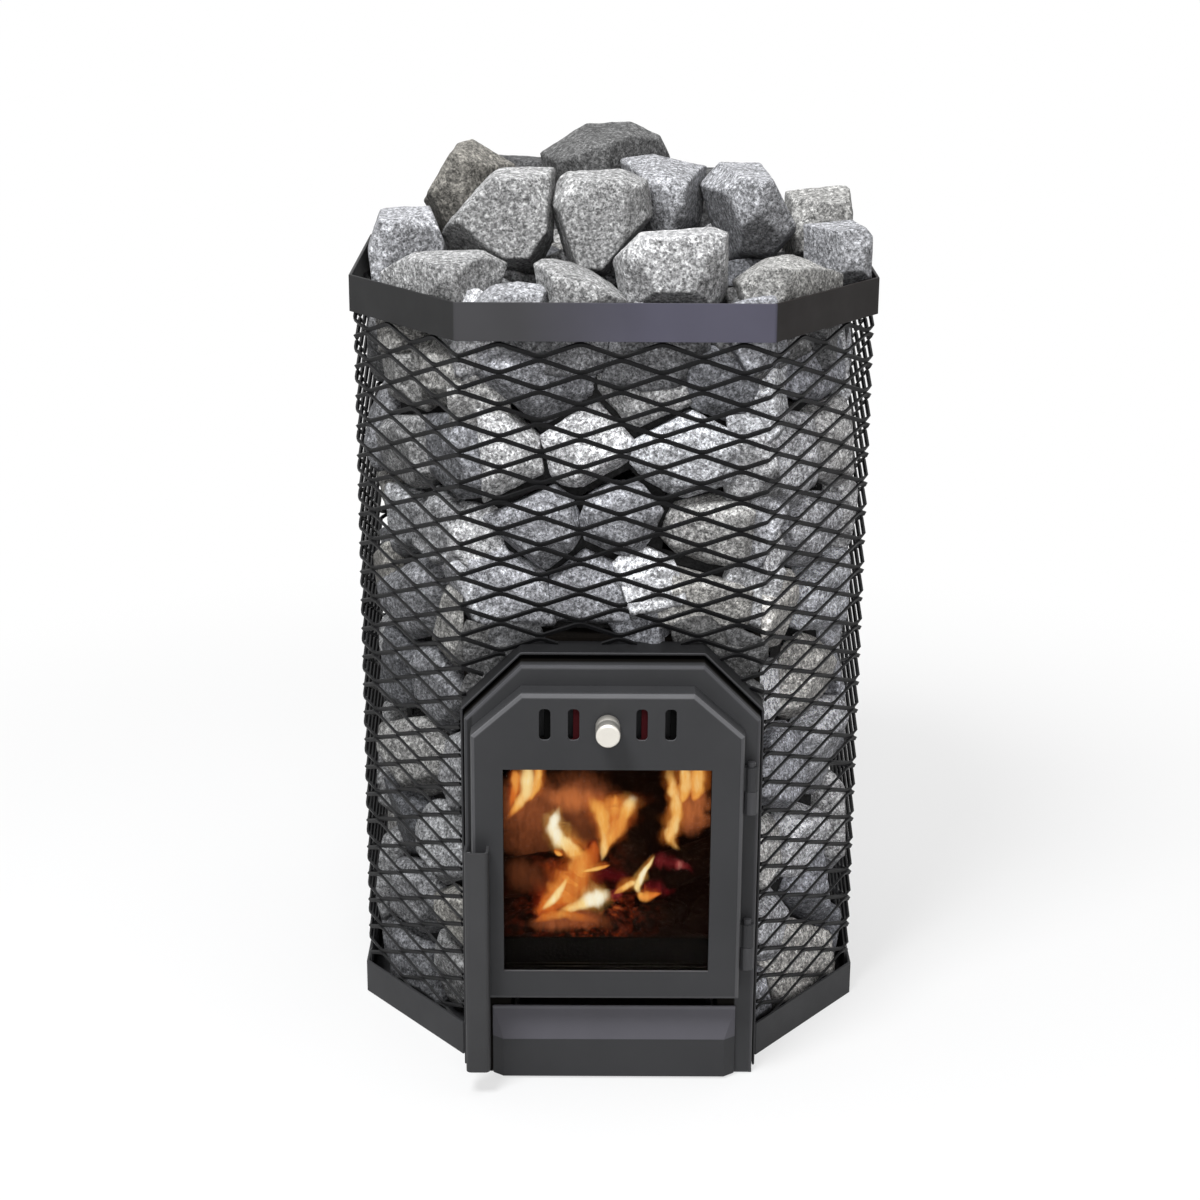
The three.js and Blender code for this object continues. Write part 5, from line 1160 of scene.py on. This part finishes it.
def build_flame(name, depth, points, material, spread, cooler=0.0):
    """A thin lens-shaped tongue along a curve, with warmth and core values for its shader."""
    curve = smooth_spine(points)
    ahead = np.gradient(curve[:, :2], axis=0)
    ahead /= np.linalg.norm(ahead, axis=1)[:, None]
    ring = [(u, -1.0) for u in LENS] + [(u, 1.0) for u in LENS[-2:0:-1]]
    vertices, heats, cores = [], [], []
    for i, (x, z, half, heat) in enumerate(curve):
        ends = math.sin(math.pi * i / (len(curve) - 1))
        taper = TIP_WIDTH + (1.0 - TIP_WIDTH) * ends ** TIP_ROUNDING
        for u, side in ring:
            bulge = 1.0 - u * u
            edge = depth + (WAVE_APART if u > 0.0 else 0.0)
            wave = noise.noise(Vector((WAVE_SCALE * x, WAVE_SCALE * z, edge)))
            wide = half * spread * taper * (1.0 + RAGGED * wave)
            vertices.append((
                MM * (x + u * wide * ahead[i, 1]),
                MM * (depth + side * LENS_DEPTH * wide * bulge),
                MM * (z - u * wide * ahead[i, 0]),
            ))
            heats.append(PERCENT * heat - cooler - EDGE_COOLING * (1.0 - bulge))
            cores.append(bulge ** CORE_FALL * min(1.0, END_FADE * ends))
    flame = new_object("flame_" + name, vertices, tube_faces(len(curve), len(ring)), material)
    for key, values in (("warmth", heats), ("core", cores)):
        flame.data.attributes.new(key, "FLOAT", "POINT").data.foreach_set("value", values)
    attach(flame, BODY)


def ember_material(name, colours, reach):
    """Charred wood that glows through its cracks near the hot spot of the fire."""
    look = new_look(name)
    char = look.ramp(look.noise(scale=60.0, detail=6.0), colours)
    away = look.add("ShaderNodeVectorMath", {0: look.place(), 1: HOT_SPOT}, operation="DISTANCE")
    near = look.ease(away.outputs["Value"], HOT_CORE, reach, 1.0, 0.0)
    cracks = look.ramp(look.noise(scale=85.0, detail=5.0, roughness=0.7), [(0.46, 0.0), (0.68, 1.0)])
    glow = look.ramp(look.multiply(cracks, near), EMBER_COLOURS)
    values = {
        "Base Color": char, "Roughness": 0.9, "Specular IOR Level": 0.1,
        "Emission Color": glow, "Emission Strength": 0.5,
    }
    return look.finish(values, look.noise(scale=240.0, detail=5.0), strength=0.7, distance=0.002)


def build_log(name, start, end, radius, material, seed):
    """A split log with furrowed bark and rough, broken ends."""
    start, end = Vector(start), Vector(end)
    axis = (end - start).normalized()
    side = axis.cross(Vector((0, 0, 1))).normalized()
    up = side.cross(axis)
    vertices = []
    for i in range(LOG_RINGS + 1):
        along = i / LOG_RINGS
        rounding = min(1.0, LOG_END + LOG_END_SLOPE * along, LOG_END + LOG_END_SLOPE * (1.0 - along))
        for k in range(LOG_SIDES):
            angle = 2.0 * math.pi * k / LOG_SIDES
            across, upward = math.cos(angle), math.sin(angle)
            bark_at = Vector((across * BARK_ROUND, upward * BARK_ROUND, along * BARK_LONG + seed))
            bark = noise.fractal(bark_at, *BARK_NOISE)
            flat = 1.0 - SPLIT_DEPTH * max(0.0, math.cos(angle - SPLIT_TURN - seed)) ** 2
            jag = JAG_DEPTH * noise.noise(Vector((across * JAG_ROUND, upward * JAG_ROUND, seed + JAG_SEED)))
            at = start.lerp(end, along) + axis * (jag if i in (0, LOG_RINGS) else 0.0)
            out = side * across + up * upward
            vertices.append(at + out * radius * rounding * flat * (1.0 + BARK_RELIEF * bark))
    log = new_object(name, vertices, tube_faces(LOG_RINGS + 1, LOG_SIDES, turned=True), material)
    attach(log, BODY)


def build_ember_bed(material):
    """Heaped ash and coals that cover the grate."""
    low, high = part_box("fire_grate")
    base = high.z + EMBER_LIFT
    columns, rows = EMBER_COLUMNS, EMBER_ROWS
    half_x, half_y = EMBER_HEAP_HALVES
    top, under = [], []
    for j in range(rows + 1):
        for i in range(columns + 1):
            x, y = low.x + (high.x - low.x) * i / columns, low.y + (high.y - low.y) * j / rows
            heap = EMBER_HEAP * math.exp(-((x / half_x) ** 2 + ((y - EMBER_HEAP_Y) / half_y) ** 2))
            lump_at = Vector((x * LUMP_SCALE, y * LUMP_SCALE, LUMP_SEED))
            lumps = LUMP_HEIGHT * abs(noise.fractal(lump_at, *LUMP_NOISE))
            under.append((x, y, base))
            top.append((x, y, base + EMBER_LAYER + heap + lumps))
    count = len(top)
    width = columns + 1
    faces = []
    for j in range(rows):
        for i in range(columns):
            a = j * width + i
            faces.append((a, a + 1, a + width + 1, a + width))
            faces.append((count + a, count + a + width, count + a + width + 1, count + a + 1))
    rim = [*range(columns), *(j * width + columns for j in range(rows))]
    rim += [*(rows * width + i for i in range(columns, 0, -1)), *(j * width for j in range(rows, 0, -1))]
    faces.extend((b, a, count + a, count + b) for a, b in zip(rim, rim[1:] + rim[:1]))
    bed = new_object("ember_bed", top + under, faces, material)
    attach(bed, BODY)


def coal_stones(draw):
    """Loose coals on the bed, thickest towards the door."""
    for _ in range(COALS):
        x = draw.uniform(-COAL_HALF_WIDTH, COAL_HALF_WIDTH)
        y = COAL_FRONT + COAL_DEPTH * draw.random() ** COAL_CROWDING
        size = tuple(draw.uniform(*COAL_SIZES) for _ in range(3))
        yield loose_stone(draw, size, COAL_DETAIL) + np.array((x, y, COAL_HEIGHT))


def build_fire():
    flame = flame_material("flame", FLAME_COLOURS, cover=0.85, firmness=1.3, streaking=0.34)
    aura = flame_material("flame_aura", FLAME_COLOURS, cover=0.36, firmness=0.9, streaking=0.3)
    glow = flame_material("ember_glow", GLOW_COLOURS, cover=0.6, firmness=0.6, streaking=0.6)
    haze = flame_material("flame_haze", HAZE_COLOURS, cover=0.8, firmness=0.85, streaking=0.3)
    for name, (depth, points) in FLAMES.items():
        build_flame(name, depth, points, flame, FLAME_SPREAD)
        build_flame(name + "_aura", depth + AURA_BEHIND, points, aura, AURA_SPREAD, AURA_COOLER)
    for shapes, material, spread in ((GLOWS, glow, GLOW_SPREAD), (HAZE, haze, HAZE_SPREAD)):
        for name, (depth, points) in shapes.items():
            build_flame(name, depth, points, material, spread)
    char = ember_material("charred_wood", CHAR_COLOURS, reach=0.09)
    embers = ember_material("embers", ASH_COLOURS, reach=0.1)
    for index, (name, (start, end, radius)) in enumerate(LOGS.items()):
        build_log(name, start, end, radius, char, LOG_SEED_STEP * index)
    build_ember_bed(embers)
    coals = join_stones("coals", coal_stones(draw_for("coals")), COAL_DETAIL, embers)
    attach(coals, BODY)


# Stage

def mark_seen(look):
    """1 for rays that show the background itself: from the camera, off gloss or through glass."""
    path = look.add("ShaderNodeLightPath")
    seen = path.outputs["Is Camera Ray"]
    for name in ("Is Glossy Ray", "Is Transmission Ray"):
        seen = look.calculate("MAXIMUM", seen, path.outputs[name])
    return seen


def build_world():
    world = bpy.data.worlds.new("studio")
    bpy.context.scene.world = world
    look = Look(world, empty=True)
    light, white = (
        look.add("ShaderNodeBackground", {"Color": WHITE, "Strength": strength}).outputs[0]
        for strength in (WORLD_LIGHT, 1.0)
    )
    look.add("ShaderNodeOutputWorld", {"Surface": look.mix_shaders(mark_seen(look), light, white)})


def build_floor():
    """White floor: it holds the object's shadow near the object and fades to plain white further out."""
    look = new_look("floor_white", empty=True)
    lit = look.add("ShaderNodeBsdfDiffuse", {"Color": (*(FLOOR_ALBEDO,) * 3, 1.0)}).outputs[0]
    white = look.add("ShaderNodeEmission", {"Color": WHITE, "Strength": 1.0}).outputs[0]
    away = look.add("ShaderNodeVectorMath", {0: look.place()}, operation="LENGTH").outputs["Value"]
    fade = look.ease(away, FLOOR_FADE_START, FLOOR_FADE_END, FLOOR_SHADOW_SHARE, 0.0)
    shown = look.mix_shaders(mark_seen(look), lit, look.mix_shaders(fade, white, lit))
    look.add("ShaderNodeOutputMaterial", {"Surface": shown})
    half = FLOOR_HALF
    corners = [(-half, -half, 0), (half, -half, 0), (half, half, 0), (-half, half, 0)]
    floor = new_object("floor", corners, [(0, 1, 2, 3)], look.owner, smooth=False)


def add_area_light(name, place, size, power, colour):
    light = bpy.data.lights.new(name, "AREA")
    light.shape = "DISK"
    light.size = size
    light.energy = power
    light.color = colour
    lamp = bpy.data.objects.new(name, light)
    lamp.location = place
    lamp.rotation_mode = "QUATERNION"
    lamp.rotation_quaternion = (LIGHT_AIM - Vector(place)).to_track_quat("-Z", "Y")
    bpy.context.scene.collection.objects.link(lamp)


def build_camera():
    data = bpy.data.cameras.new("camera")
    data.lens = CAMERA_LENS_MM
    data.sensor_width = CAMERA_SENSOR_MM
    camera = bpy.data.objects.new("camera", data)
    bpy.context.scene.collection.objects.link(camera)
    turn = (
        Matrix.Rotation(CAMERA_YAW, 4, "Z")
        @ Matrix.Rotation(math.pi / 2.0 - CAMERA_TILT_DOWN, 4, "X")
        @ Matrix.Rotation(CAMERA_ROLL, 4, "Z")
    )
    camera.matrix_world = Matrix.Translation(CAMERA_PLACE) @ turn
    bpy.context.scene.camera = camera


build_camera()
build_world()
build_floor()
for lamp_name, lamp_values in LAMPS.items():
    add_area_light(lamp_name, *lamp_values)
bpy.context.scene.view_settings.view_transform = "Standard"

finishes = dress_cad_nodes()
repaint_nodes(finishes["cast_iron"])
build_knob(finishes["polished"])
build_cage(finishes["mesh_paint"])
build_stones()
build_fire()
